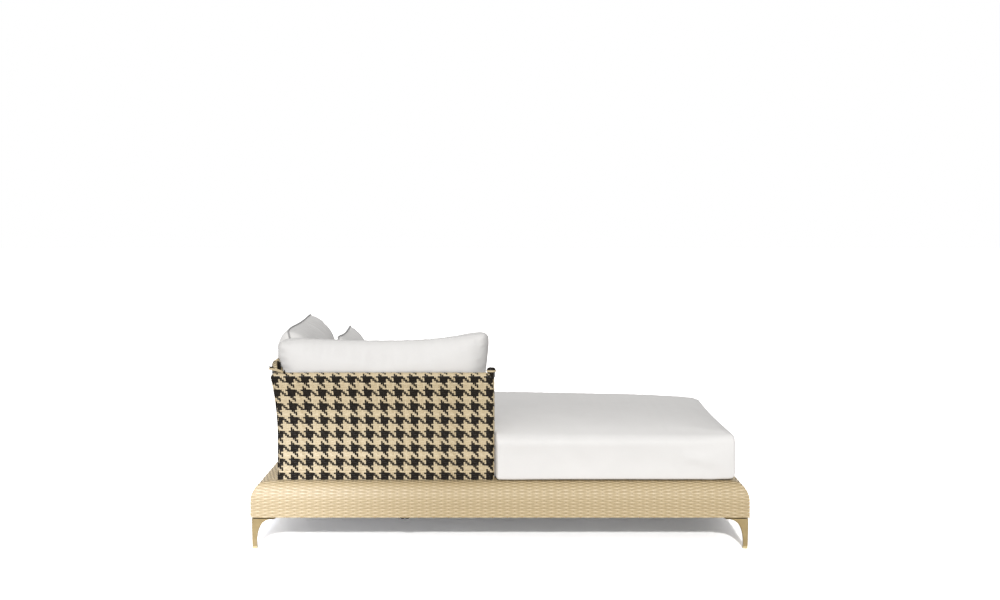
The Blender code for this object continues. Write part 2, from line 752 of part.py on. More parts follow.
def end_inner_x(z):
    return CORNER_X - flare(min(z, END_RIM_HEIGHT)) + PANEL_HALF


SEAT_LEFT = end_inner_x(SEAT_FOOT) + SOFT_GAP
SEAT_RIGHT = HALF_X - SEAT_RIGHT_SETBACK
SEAT_FAR = HALF_Y - SEAT_FAR_SETBACK
SEAT_NEAR = -HALF_Y + SEAT_NEAR_SETBACK
SEAT_NOTCH_Y = near_inner_y(SEAT_FOOT) + SOFT_GAP
SEAT_NOTCH_X = NEAR_PANEL_END_X + SOFT_GAP


def seat_near_edge(x):
    """The seat's near side steps back behind the near panel."""
    share = smooth_step(x, SEAT_NOTCH_X, SEAT_NOTCH_X + SEAT_NOTCH_BLEND)
    return SEAT_NOTCH_Y + (SEAT_NEAR - SEAT_NOTCH_Y) * share


def seat_crown(x, y):
    """Height that the seat's top stands above its edge."""
    u = (2 * x - SEAT_LEFT - SEAT_RIGHT) / (SEAT_RIGHT - SEAT_LEFT)
    v = (2 * y - SEAT_NEAR - SEAT_FAR) / (SEAT_FAR - SEAT_NEAR)
    level = SEAT_CROWN * (1 - SEAT_CROWN_FALL * max(0.0, u))
    return level * max(0.0, 1 - u**SEAT_FULLNESS_ALONG) * max(0.0, 1 - v**SEAT_FULLNESS_ACROSS)


def seat_top(x, y):
    return SEAT_FOOT + SEAT_HEIGHT + seat_crown(x, y)


def dense_at_ends(count, bend=EDGE_DENSITY):
    """Parameters from -1 to 1, closer together near both ends."""
    spread = math.pi / 2 * bend
    return [math.sin(spread * (2 * i / count - 1)) / math.sin(spread) for i in range(count + 1)]


def build_seat_cushion(finish):
    """Boxed cushion with a crowned top, a soft top edge, drawn-in sides and a step round the near panel."""
    blend_end = SEAT_NOTCH_X + SEAT_NOTCH_BLEND
    shares = [(t + 1) / 2 for t in dense_at_ends(SEAT_COLUMNS // 2)]
    end_turns = [math.pi / 2 * i / SEAT_END_STEPS for i in range(SEAT_END_STEPS)]
    end_steps = [SEAT_END_RADIUS * (1 - math.cos(turn)) for turn in end_turns]
    left, right = SEAT_LEFT + SEAT_END_RADIUS, SEAT_RIGHT - SEAT_END_RADIUS
    stations = [SEAT_LEFT + step for step in end_steps]
    stations += [left + (SEAT_NOTCH_X - left) * share for share in shares]
    stations += spread(SEAT_NOTCH_X, blend_end, NOTCH_STEPS)[1:-1]
    stations += [blend_end + (right - blend_end) * share for share in shares]
    stations += [SEAT_RIGHT - step for step in reversed(end_steps)]
    radius = SEAT_EDGE_RADIUS
    heights = [i / SEAT_LAYERS for i in range(SEAT_LAYERS)]
    turns = [math.pi / 2 * step / ARC_STEPS for step in range(ARC_STEPS + 1)]

    def ring(x):
        to_end = max(0.0, min(x - SEAT_LEFT, SEAT_RIGHT - x, SEAT_END_RADIUS))
        lost = SEAT_END_RADIUS - math.sqrt(SEAT_END_RADIUS**2 - (SEAT_END_RADIUS - to_end) ** 2)
        near = seat_near_edge(x) + lost * SEAT_CORNER_EASE
        far = SEAT_FAR - lost * SEAT_CORNER_EASE
        u = (2 * x - SEAT_LEFT - SEAT_RIGHT) / (SEAT_RIGHT - SEAT_LEFT)
        draw = SEAT_DRAW_IN * max(0.0, 1 - u * u)
        top = SEAT_FOOT + SEAT_HEIGHT - lost
        wall_top = top - radius

        def side(edge, inward):
            points = []
            for share in heights:
                pull = draw * math.sin(math.pi * share)
                points.append((edge + inward * pull, SEAT_FOOT + (wall_top - SEAT_FOOT) * share))
            for turn in turns:
                y = edge + inward * radius * (1 - math.cos(turn))
                points.append((y, wall_top + radius * math.sin(turn) + seat_crown(x, y)))
            return points

        points = side(near, 1)
        inner_near, inner_far = near + radius, far - radius
        for t in dense_at_ends(SEAT_ROWS, TOP_DENSITY)[1:-1]:
            y = inner_near + (inner_far - inner_near) * (t + 1) / 2
            points.append((y, top + seat_crown(x, y)))
        points += reversed(side(far, -1))
        return [Vector((x, y, z)) for y, z in points]

    return solid("seat_cushion", [ring(x) for x in stations], finish["canvas"], math.radians(60))


def knife_edge_form(length, height, thickness, draw_in, corner, ear=0.0):
    """Two bulged faces that meet in one seam all round, with softened corners and drawn-in sides.

    Local x runs along, y through the thickness and z up the height. An ear lifts the corner at +x, +z.
    """
    columns = dense_at_ends(SOFT_COLUMNS)
    rows = dense_at_ends(SOFT_ROWS)

    def point(u, v, face):
        x = length / 2 * u * (1 - draw_in * height / length * (1 - v * v))
        z = height / 2 * v * (1 - draw_in * (1 - u * u))
        z += ear * max(0.0, u) ** CUSHION_EAR_POWER * (v + 1) / 2
        soften = corner * abs(u * v) ** CUSHION_CORNER_POWER
        x -= math.copysign(soften, u)
        z -= math.copysign(soften, v)
        full = (1 - u**CUSHION_FULLNESS_ALONG) * (1 - v**CUSHION_FULLNESS_UP)
        bulge = thickness / 2 * math.sqrt(max(0.0, full))
        return Vector((x, face * bulge, z))

    bm = bmesh.new()
    grids = {}
    for face in (-1, 1):
        grid = []
        for j, v in enumerate(rows):
            line = []
            for i, u in enumerate(columns):
                on_seam = i in (0, SOFT_COLUMNS) or j in (0, SOFT_ROWS)
                if on_seam and face == 1:
                    line.append(grids[-1][j][i])
                else:
                    line.append(bm.verts.new(point(u, v, face)))
            grid.append(line)
        grids[face] = grid
        for j in range(SOFT_ROWS):
            for i in range(SOFT_COLUMNS):
                quad = (grid[j][i], grid[j][i + 1], grid[j + 1][i + 1], grid[j + 1][i])
                bm.faces.new(quad if face == -1 else quad[::-1])
    return bm


def settle(bm, limits):
    """Presses a soft form against what it lies on: each limit moves a point that has gone too far."""
    for vert in bm.verts:
        for limit in limits:
            limit(vert.co)


def rest_on_seat(co):
    co.z = max(co.z, seat_top(co.x, co.y) + SOFT_GAP)


def leaning_plane(rim, z):
    """How far out, at height z, a flat cushion back may go that leans on a panel's round rim."""
    crest = rim - PANEL_HALF
    slope = flare_slope(crest)
    return flare(crest) + slope * (z - crest) - PANEL_HALF * math.sqrt(1 + slope**2) - SOFT_GAP


def lean_on_near_panel(co):
    co.y = max(co.y, CORNER_Y - leaning_plane(NEAR_RIM_HEIGHT, co.z))


def lean_on_end_panel(co):
    co.x = max(co.x, CORNER_X - leaning_plane(END_RIM_HEIGHT, co.z))


def build_back_cushions(finish):
    """Loose knife-edge cushions that stand on the seat and lean on the two panels."""
    sunk_z = SEAT_FOOT + SEAT_HEIGHT - CUSHION_SINK

    bm = knife_edge_form(
        BACK_CUSHION_LENGTH,
        BACK_CUSHION_HEIGHT,
        BACK_CUSHION_THICKNESS,
        BACK_CUSHION_DRAW_IN,
        BACK_CUSHION_CORNER,
        BACK_CUSHION_EAR,
    )
    middle_z = sunk_z + BACK_CUSHION_HEIGHT / 2
    place = Vector(
        (
            NEAR_PANEL_END_X - BACK_CUSHION_END_GAP - BACK_CUSHION_LENGTH / 2,
            near_inner_y(middle_z) + BACK_CUSHION_THICKNESS / 2,
            middle_z,
        )
    )
    lean = Matrix.Rotation(BACK_CUSHION_LEAN, 4, "X")
    bmesh.ops.transform(bm, matrix=Matrix.Translation(place) @ lean, verts=bm.verts)
    settle(bm, (lean_on_near_panel, lean_on_end_panel, rest_on_seat))
    near_back = max(vert.co.y for vert in bm.verts)
    add_object("back_cushion", bm, finish["canvas"], math.radians(80))

    near_end = near_back + END_CUSHION_NEAR_GAP
    length = END_PANEL_END_Y + END_CUSHION_FAR_OVERRUN - near_end
    bm = knife_edge_form(
        length, END_CUSHION_HEIGHT, END_CUSHION_THICKNESS, END_CUSHION_DRAW_IN, END_CUSHION_CORNER
    )
    turn = Matrix.Rotation(-END_CUSHION_LEAN, 4, "Y") @ Matrix.Rotation(math.radians(-90), 4, "Z")
    rise = END_CUSHION_HEIGHT / 2 * math.cos(END_CUSHION_LEAN)
    back = END_CUSHION_HEIGHT / 2 * math.sin(END_CUSHION_LEAN)
    place = Vector(
        (
            end_inner_x(END_RIM_HEIGHT) + END_CUSHION_TOP_OVERHANG + back,
            near_end + length / 2,
            sunk_z + rise,
        )
    )
    bmesh.ops.transform(bm, matrix=Matrix.Translation(place) @ turn, verts=bm.verts)
    settle(bm, (lean_on_end_panel, rest_on_seat))
    tree = BVHTree.FromBMesh(bm)
    add_object("end_cushion", bm, finish["canvas"], math.radians(80))

    bm = knife_edge_form(PILLOW_WIDTH, PILLOW_HEIGHT, PILLOW_THICKNESS, PILLOW_DRAW_IN, PILLOW_CORNER)
    turn = Matrix.Rotation(-PILLOW_LEAN, 4, "Y") @ Matrix.Rotation(math.radians(-90), 4, "Z")
    place = Vector((0.0, PILLOW_Y, sunk_z + PILLOW_HEIGHT / 2))
    bmesh.ops.transform(bm, matrix=Matrix.Translation(place) @ turn, verts=bm.verts)
    reach = []
    for vert in bm.verts:
        hit = tree.ray_cast(vert.co, Vector((-1, 0, 0)))
        if hit[0] is not None:
            reach.append(hit[3])
    bmesh.ops.translate(bm, vec=Vector((SOFT_GAP - min(reach), 0, 0)), verts=bm.verts)
    highest = max(seat_top(vert.co.x, vert.co.y) for vert in bm.verts)

    def rest_on_crown(co):
        co.z = max(co.z, highest + SOFT_GAP)

    settle(bm, (rest_on_crown,))
    add_object("throw_pillow", bm, finish["canvas"], math.radians(80))


def main():
    clear_scene()
    finish = {
        "tan_weave": make_material("tan_weave", (0.66, 0.50, 0.28), 0.5, 0.0),
        "houndstooth": make_material("houndstooth", (0.30, 0.22, 0.13), 0.5, 0.0),
        "frame": make_material("frame", (0.62, 0.62, 0.60), 0.45, 1.0),
        "gold": make_material("gold", (0.72, 0.56, 0.28), 0.35, 1.0),
        "glide": make_material("glide", (0.70, 0.60, 0.36), 0.5, 0.0),
        "steel": make_material("steel", (0.56, 0.56, 0.55), 0.35, 1.0),
        "dark_metal": make_material("dark_metal", (0.06, 0.06, 0.055), 0.5, 0.6),
        "canvas": make_material("canvas", (0.85, 0.84, 0.82), 0.85, 0.0),
    }
    make_material("cutter", (1.0, 0.2, 0.2), 0.5, 0.0)
    made = build_platform(finish)
    build_legs(made, finish)
    build_bracket(made, finish)
    build_back(made, finish)
    build_seat_cushion(finish)
    build_back_cushions(finish)


main()
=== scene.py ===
"""Looks of the outdoor daybed: woven strands, cast legs, stuffed cushions, light and camera.

Metres, +Z up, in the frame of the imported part. The long woven panel stands at -Y, the end panel at -X.
"""

import json
import math

import bmesh
import bpy
import numpy as np
from mathutils import Matrix, Vector


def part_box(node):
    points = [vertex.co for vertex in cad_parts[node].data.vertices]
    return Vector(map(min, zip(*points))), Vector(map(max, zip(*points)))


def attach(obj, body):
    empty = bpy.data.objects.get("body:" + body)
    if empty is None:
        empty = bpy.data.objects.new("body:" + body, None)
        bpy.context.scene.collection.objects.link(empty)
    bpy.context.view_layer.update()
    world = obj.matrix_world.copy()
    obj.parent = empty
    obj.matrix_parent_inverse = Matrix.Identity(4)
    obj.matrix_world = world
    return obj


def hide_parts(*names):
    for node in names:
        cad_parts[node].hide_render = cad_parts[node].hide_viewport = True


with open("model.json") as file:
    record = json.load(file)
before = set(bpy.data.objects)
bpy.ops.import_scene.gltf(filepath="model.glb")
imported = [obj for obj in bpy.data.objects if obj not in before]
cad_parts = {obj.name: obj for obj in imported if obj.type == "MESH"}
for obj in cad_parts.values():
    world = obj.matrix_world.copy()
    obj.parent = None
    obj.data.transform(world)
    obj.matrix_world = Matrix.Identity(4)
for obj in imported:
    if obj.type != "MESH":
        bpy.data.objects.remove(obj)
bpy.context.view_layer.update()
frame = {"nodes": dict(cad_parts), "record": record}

# Sizes read from the frame
BASE_LOW, BASE_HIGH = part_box("base_weave")
NEAR_LOW, NEAR_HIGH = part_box("near_panel_weave")
_, END_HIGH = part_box("end_panel_weave")
SEAT_LOW, SEAT_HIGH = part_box("seat_cushion")
LEG_LOW, LEG_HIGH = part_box("leg_near_left")
HALF_X = BASE_HIGH.x
HALF_Y = BASE_HIGH.y
UNDERSIDE = BASE_LOW.z
DECK_TOP = BASE_HIGH.z

# Sizes that the frame's boxes don't give
SHOULDER_DEPTH = 0.055
SHOULDER_DROP = 0.072
PANEL_HALF = 0.019
FLARE_START = 0.417
FLARE_RADIUS = 1.42
RIM_RISE_LENGTH = 0.06
CORNER_X = END_HIGH.x - PANEL_HALF
CORNER_Y = NEAR_HIGH.y - PANEL_HALF
PANEL_FOOT = NEAR_LOW.z
KNOB_RISE = 0.019
NEAR_RIM = NEAR_HIGH.z - KNOB_RISE
END_RIM = END_HIGH.z - KNOB_RISE

# Panel weave: a two-over-two-under twill in groups of four dark and four tan strands
WARP_PITCH = 0.00762
SIDE_ROWS = 59
RIM_ROWS = 9
ROUND_END_WARPS = 8
COLOUR_GROUP = 4
TWILL_FLOAT = 2
WARP_PHASE = 2
WARP_FAN = 0.75
WEFT_PHASE = 0
PANEL_SWING = 0.0007
PANEL_CROWN = 0.0011
PANEL_EDGE = 0.0004
STRAND_FILL = 0.94
PANEL_BACKING = 0.0031
ROUND_END_FILL = 0.97
MITRE_CLEARANCE = WARP_PITCH / 4
TONE_MEAN = 0.36
TONE_SPREAD = 0.13
TONE_TOP = 0.75
CORE_HEIGHTS = 12
CORE_STATIONS = 14

# Knob on a panel's free end
KNOB_RADIUS = 0.0182
KNOB_TOP = 0.0193
KNOB_HEIGHT = 0.0165
KNOB_BAND = 0.0036
KNOB_NECK = 0.0142
KNOB_SHIFT = 0.0052
KNOB_MERIDIANS = 18
KNOB_FLATNESS = 0.42
KNOB_TIP_WIDTH = 0.0006
KNOB_RING_STEPS = 33

# Corner of the panels: stitches up the mitre, curled strand ends and ribs over the end panel's rim
CORNER_BEAD = 0.0042
CORNER_BEAD_SINK = 0.0035
BEAD_CROWN = 0.0016
BEAD_EDGE = 0.001
STITCH_STEPS = 6
STITCH_LIFT = 0.0012
CURL_CROWN = 0.0025
CURL_EDGE = 0.0012
CURL_FACE = np.array((-0.25, -0.9, 0.36))
RIM_RIBS = 7
RIM_RIB_PITCH = 0.0085
RIM_RIB_FILL = 0.45
RIM_RIB_WRAP = 0.3
RIM_RIB_STEPS = 15

# Each curl: dark or not, then points from the rim's outer corner, each with the half width there
CURLS = (
    (
        True,
        (0.004, -0.01, 0.004, 0.0045),
        (-0.007, -0.017, 0.018, 0.0042),
        (-0.018, -0.024, 0.025, 0.0034),
        (-0.028, -0.03, 0.0275, 0.0006),
    ),
    (
        False,
        (-0.024, -0.026, 0.019, 0.004),
        (0.0, -0.03, 0.0155, 0.0048),
        (0.025, -0.024, 0.0075, 0.0045),
        (0.03, -0.016, 0.0, 0.003),
    ),
    (True, (0.034, -0.012, -0.004, 0.0085), (0.036, -0.016, 0.005, 0.005), (0.038, -0.019, 0.0122, 0.0006)),
    (False, (0.022, -0.016, 0.002, 0.0034), (0.028, -0.02, 0.006, 0.003), (0.034, -0.022, 0.009, 0.0006)),
)

# Platform weave: a plain weave of flat rows round upright stakes
ROW_PITCH = 0.00715
STAKE_PITCH = 0.0294
SAMPLES_PER_STAKE = 6
LEDGE_RUN = 0.055
BASE_SWING = 0.0012
BASE_CROWN = 0.0009
BASE_EDGE = 0.0003
ROW_TONE = 0.28
# Painted highlight: tone added at the crest of each float, so the float tops read lit and the dips between
# them shaded
FLOAT_PAINTED_HIGHLIGHT = 0.36
# Painted shade: the stakes, seen only in the dips between floats, are darker than the rows
STAKE_PAINTED_SHADE = 0.12
STAKE_HALF_WIDTH = 0.003
BASE_BACKING = 0.0036
BASE_BACKING_WALL = 0.0006
ROW_TONE_SPREAD = 0.03
SHOULDER_POINTS = 65

# Legs
LEG_TOP_WIDTH = 0.094
LEG_SWEEP_FOOT_WIDTH = 0.02
LEG_FOOT_WIDTH = 0.018
LEG_TOP_INSET = 0.004
LEG_FOOT_INSET = 0.0068
LEG_LIP = 0.002
LEG_GROOVE_HEIGHT = 0.0045
LEG_GROOVE_DEPTH = 0.02
LEG_SWEEP_POWER = 0.47
LEG_SQUARENESS = 9.0
LEG_SIDES = 48
LEG_RINGS = 44
LEG_RING_CROWDING = 2.2

# Cushions
CLOTH_GRID = 0.008
CLOTH_FRAMES = 20
CLOTH_SLACK = 0.012
CLOTH_CAP = 0.009
CLOTH_PRESSURE = 4.0
CLOTH_SETTINGS = {
    "quality": 5,
    "mass": 0.3,
    "tension_stiffness": 18.0,
    "compression_stiffness": 18.0,
    "shear_stiffness": 9.0,
    "bending_stiffness": 0.4,
    "shrink_min": -CLOTH_SLACK,
    "use_pressure": True,
}
SEAM_SIDES = 6
SOFT_GAP = 0.0007
CUSHION_SINK = 0.012
GATHER_WAVES = 9
GATHER_SHORTEST = 0.028
GATHER_LONGEST = 0.075
GATHER_START = 0.012
ROLL_START = 0.55
EAR_POWER = 3
CORNER_POWER = 5
LENGTHWISE_POWER = 10
UPWARD_POWER = 4
RIM_CLEARANCE = 0.004
RIM_SPILL = 6.0

# Seat cushion
SEAT_FOOT = SEAT_LOW.z
SEAT_NOTCH_X = NEAR_HIGH.x + SOFT_GAP
SEAT_NOTCH_Y = NEAR_HIGH.y + SOFT_GAP
SEAT_EDGE_TOP = 0.191
SEAT_CROWN = 0.052
SEAT_CROWN_FALL = 0.38
SEAT_NEAR_ROUNDING = 2.4
SEAT_FAR_ROUNDING = 6.0
SEAT_END_ROUNDING = 8
SEAT_EDGE_RADIUS = 0.034
SEAT_END_RADIUS = 0.016
SEAT_FOOT_RADIUS = 0.009
SEAT_SPILL = 0.013
SEAT_NEAR = SEAT_LOW.y - SEAT_SPILL
SEAT_DRAW_IN = 0.006
SEAT_END_DRAW_IN = 0.012
SEAT_END_DRAW_POWER = 8
SEAT_CORNER_EASE = 0.5
SEAT_CORNER_LIFT = 0.012
SEAT_CORNER_LIFT_LENGTH = 0.1
SEAT_NOTCH_BLEND = 0.014
SEAT_NOTCH_ROUNDING = 0.02
SEAT_GRID = 0.014
SEAT_SIDE_STEPS = 11
SEAT_TOP_STEPS = 59
SEAT_UNDER_STEPS = 30
SEAT_END_STEPS = 6
SEAT_UNEVEN = 0.0006
SEAT_PRESSURE = 2.5
SEAT_CLOTH_CAP = 0.004
SEAT_EDGE_LIFT = 0.004
SEAT_EDGE_LIFT_DEPTH = 0.08
SEAT_SAG = 0.015
SEAT_SAG_DEPTH = 0.24
SEAT_SAG_START = 0.03
SEAT_SAG_END = 0.2

# Sewn cushions: sizes, lean, roll of the top, depth and reach of the puckers, fabric and seam
# The seam cord's material is the canvas painted grey: painted shade along the seam
PLAIN_PAD = dict(splay=0.0, rear=1.0, roll=0.0, canvas="canvas", seam="canvas_seam", seam_radius=0.0042)
BACK_PAD = PLAIN_PAD | dict(
    length=0.871, height=0.395, thickness=0.155,
    draw_in=0.05, corner=0.036, ears=(0.022, 0.06), splay=0.021, section=0.5,
    lean=math.radians(5), roll=math.radians(20),
    gather=0.0016, gather_reach=0.032,
    # Its canvas is painted darker than the other cushions': painted shade
    canvas="back_canvas_painted_shade", seam="pale_seam_painted_shade", seam_radius=0.0018,
)
BACK_PAD_END_GAP = 0.03
END_PAD = PLAIN_PAD | dict(
    height=0.427, thickness=0.18,
    draw_in=0.04, corner=0.012, ears=(0.01, 0.0), section=1.0,
    lean=math.radians(15),
    gather=0.0026, gather_reach=0.055,
)
END_PAD_OVERHANG = 0.002
PILLOW_PAD = PLAIN_PAD | dict(
    length=0.45, height=0.37, thickness=0.14,
    draw_in=0.07, corner=0.006, ears=(0.004, 0.0), section=0.9, rear=0.4,
    lean=math.radians(9),
    gather=0.002, gather_reach=0.04,
)

# Camera, in the photograph's 1000 x 600 frame
PHOTO_WIDTH = 1000
PHOTO_HEIGHT = 600
FOCAL_PIXELS = 1237
HORIZON_ROW = 200
CAMERA_PLACE = (0.0, -5.45, 1.398)

# Light
KEY_ELEVATION = math.radians(26)
KEY_AZIMUTH = math.radians(-1)
KEY = dict(energy=1.95, angle=math.radians(2.5))
STRIP_PLACE = (-1.12, -2.5, 1.55)
STRIP_AIM = (-1.12, -0.5, 0.2)
STRIP_SIZE = dict(shape="RECTANGLE", size=1.0, size_y=0.3)
STRIP = STRIP_SIZE | dict(spread=math.radians(24), energy=1.3, color=(0.92, 1.0, 1.24))
FILL_STRENGTH = 0.615
FILL_SIDE = (-0.5, -0.3, -0.1)
FILL_ENDS = (-0.6, 0.0, 0.0)
FLOOR_COLOUR = (0.8, 0.8, 0.8)
FLOOR_MIRRORED = (1.3, 1.3, 1.3)
FLOOR_SHOWN = (2.35, 2.32, 2.3)
FLOOR_SIZE = 60.0

RAYS = ("Glossy", "Transmission", "Camera")

# Points along a short curve and round an edge, and the angles from which an edge is sharp
CURVE_STEPS = 9
ROUNDING_STEPS = 7
STRAND_SHARP = math.radians(60)
MESH_SHARP = math.radians(50)

RANDOM = np.random.default_rng(7)
MATERIALS = {}


def clamp(value):
    return np.clip(value, 0.0, 1.0)


def vectors(x, y, z):
    return np.stack(np.broadcast_arrays(x, y, z), axis=-1)


def new_object(name, data, *materials):
    """Puts a mesh, a lamp or a camera into the scene, with materials by name."""
    for material in materials:
        data.materials.append(MATERIALS[material])
    obj = bpy.data.objects.new(name, data)
    bpy.context.scene.collection.objects.link(obj)
    return obj


def dress(obj, body, slot, *nodes):
    """Ties a piece to its body and hides the solids that it stands for. The slot, its finish, is not used.
    """
    if nodes:
        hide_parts(*nodes)
    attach(obj, body)


def quads(index):
    """Four corners of each cell in a grid of point numbers."""
    corners = (index[:-1, :-1], index[:-1, 1:], index[1:, 1:], index[1:, :-1])
    return np.stack(corners, axis=-1).reshape(-1, 4).tolist()


class Strands:
    """Collects flat, crowned ribbons and turns them into one mesh."""

    def __init__(self):
        self.points = []
        self.faces = []
        self.tones = []
        self.count = 0

    def add(self, centers, normals, half_width, tone, crown=PANEL_CROWN, edge=PANEL_EDGE):
        """A closed ribbon along centres, facing along one normal or along one at each centre."""
        count = len(centers)
        sides = np.cross(np.gradient(centers, axis=0), normals)
        sides *= (np.broadcast_to(half_width, count) / np.linalg.norm(sides, axis=1))[:, None]
        low = centers - normals * edge
        rings = np.stack((low - sides, centers + normals * crown, low + sides), axis=1)
        self.points.append(rings.reshape(-1, 3))
        index = self.count + np.arange(3 * count).reshape(count, 3)
        self.faces += quads(np.hstack((index, index[:, :1])))
        self.faces += [index[0, ::-1].tolist(), index[-1].tolist()]
        self.tones.append(np.repeat(np.broadcast_to(tone, count), 3))
        self.count += 3 * count

    def build(self, name, material):
        mesh = bpy.data.meshes.new(name)
        mesh.from_pydata(np.concatenate(self.points).tolist(), [], self.faces)
        mesh.shade_smooth()
        mesh.set_sharp_from_angle(angle=STRAND_SHARP)
        tone = mesh.attributes.new("tone", "FLOAT", "POINT")
        tone.data.foreach_set("value", np.concatenate(self.tones).astype(np.float32))
        return new_object(name, mesh, material)


def grid_mesh(name, rows, material, close_rows=False, close_columns=False):
    """A quad mesh through rows of points; either direction may close on itself."""
    points = np.asarray(rows, float)
    columns = points.shape[1]
    points = points.reshape(-1, 3)
    index = np.arange(len(points)).reshape(-1, columns)
    if close_rows:
        index = np.vstack((index, index[:1]))
    if close_columns:
        index = np.hstack((index, index[:, :1]))
    bm = bmesh.new()
    verts = [bm.verts.new(point) for point in points]
    for face in quads(index):
        bm.faces.new([verts[i] for i in face])
    if close_columns and not close_rows:
        bm.faces.new(verts[:columns])
        bm.faces.new(verts[-columns:])
    bmesh.ops.recalc_face_normals(bm, faces=bm.faces)
    mesh = bpy.data.meshes.new(name)
    bm.to_mesh(mesh)
    bm.free()
    mesh.shade_smooth()
    mesh.set_sharp_from_angle(angle=MESH_SHARP)
    return new_object(name, mesh, material)


# Materials


def start_material(name):
    material = MATERIALS[name] = bpy.data.materials.new(name)
    material.use_nodes = True
    return material.node_tree, material.node_tree.nodes["Principled BSDF"]


def feed(tree, node, inputs):
    """Gives a node's inputs, by name or number, plain values or the outputs of other nodes."""
    for key, value in inputs.items():
        if isinstance(value, bpy.types.NodeSocket):
            tree.links.new(value, node.inputs[key])
        else:
            node.inputs[key].default_value = value


def add_node(tree, kind, *values, **named):
    """A node with inputs in order or by name; names in small letters are the node's own settings."""
    node = tree.nodes.new(f"ShaderNode{kind}")
    inputs = dict(enumerate(values))
    for key, value in named.items():
        if key.islower():
            setattr(node, key, value)
        else:
            inputs[key.replace("_", " ")] = value
    feed(tree, node, inputs)
    return node


def calculate(tree, operation, *values):
    return add_node(tree, "Math", *values, operation=operation).outputs["Value"]


def object_coordinates(tree, scale=(1.0, 1.0, 1.0)):
    """Object coordinates, stretched by a scale along each axis."""
    place = add_node(tree, "TexCoord").outputs["Object"]
    return add_node(tree, "Mapping", Vector=place, Scale=scale).outputs["Vector"]


def noise(tree, place, scale, detail):
    return add_node(tree, "TexNoise", Vector=place, Scale=scale, Detail=detail).outputs["Fac"]


def wave(tree, place, direction, scale, distortion):
    """Bands across one axis."""
    node = add_node(tree, "TexWave", Vector=place, Scale=scale, Distortion=distortion, Detail=1.0)
    node.bands_direction = direction
    return node.outputs["Fac"]


def bump(tree, height, strength, distance):
    return add_node(tree, "Bump", Height=height, Strength=strength, Distance=distance).outputs["Normal"]


def ramp(tree, value, *stops):
    """Colours between stops, each a position and a colour."""
    node = add_node(tree, "ValToRGB", Fac=value)
    while len(node.color_ramp.elements) < len(stops):
        node.color_ramp.elements.new(0.5)
    for element, (position, colour) in zip(node.color_ramp.elements, stops):
        element.position = position
        element.color = (*colour, 1.0)
    return node.outputs["Color"]


def strand_look(tree, dark, middle, light, roughness, gloss=0.5):
    """Extruded synthetic strand: tone by strand, with a painted highlight on the platform's floats, faint
    streaks and a satin surface.
    """
    tone = add_node(tree, "Attribute", attribute_name="tone").outputs["Fac"]
    streaks = noise(tree, object_coordinates(tree, (60.0, 60.0, 60.0)), scale=6.0, detail=4.0)
    streak_share = 0.35
    streaked = calculate(tree, "MULTIPLY_ADD", streaks, streak_share, tone)
    return {
        "Base Color": ramp(tree, streaked, (0.1, dark), (0.55, middle), (1.0, light)),
        "Roughness": roughness,
        "Specular IOR Level": gloss,
        "Normal": bump(tree, streaks, strength=0.2, distance=0.0004),
    }


def woven_backing_look(tree, dark, light):
    """Deck behind the strands: a flat plain weave in two tones."""
    place = object_coordinates(tree)
    bands = [wave(tree, place, direction, scale, 0.6) for direction, scale in (("X", 17.0), ("Y", 70.0))]
    weave = calculate(tree, "MULTIPLY", *bands)
    return {
        "Base Color": ramp(tree, weave, (0.0, dark), (0.8, light)),
        "Roughness": 0.55,
        "Normal": bump(tree, weave, strength=0.5, distance=0.0015),
    }


def canvas_look(tree, colour, shade):
    """Outdoor canvas: fine threads both ways and a faint mottle."""
    place = object_coordinates(tree)
    mottle = noise(tree, place, scale=9.0, detail=5.0)
    x, y, z = [wave(tree, place, direction, scale=380.0, distortion=1.2) for direction in "XYZ"]
    threads = calculate(tree, "ADD", calculate(tree, "ADD", x, y), z)
    return {
        "Base Color": ramp(tree, mottle, (0.3, shade), (0.7, colour)),
        "Roughness": 0.92,
        "Sheen Weight": 0.15,
        "Specular IOR Level": 0.25,
        "Normal": bump(tree, threads, strength=0.12, distance=0.0004),
    }


def metal_look(tree, colour, worn, roughness, grain, metallic=1.0):
    """Cast, drawn or turned metal with slow changes of tone and roughness."""
    grains = noise(tree, object_coordinates(tree, grain), scale=8.0, detail=6.0)
    varies = 0.08
    rough = add_node(tree, "MapRange", Value=grains, To_Min=roughness - varies, To_Max=roughness + varies)
    return {
        "Base Color": ramp(tree, grains, (0.25, worn), (0.7, colour)),
        "Roughness": rough.outputs["Result"],
        "Metallic": metallic,
        "Normal": bump(tree, grains, strength=0.08, distance=0.0005),
    }


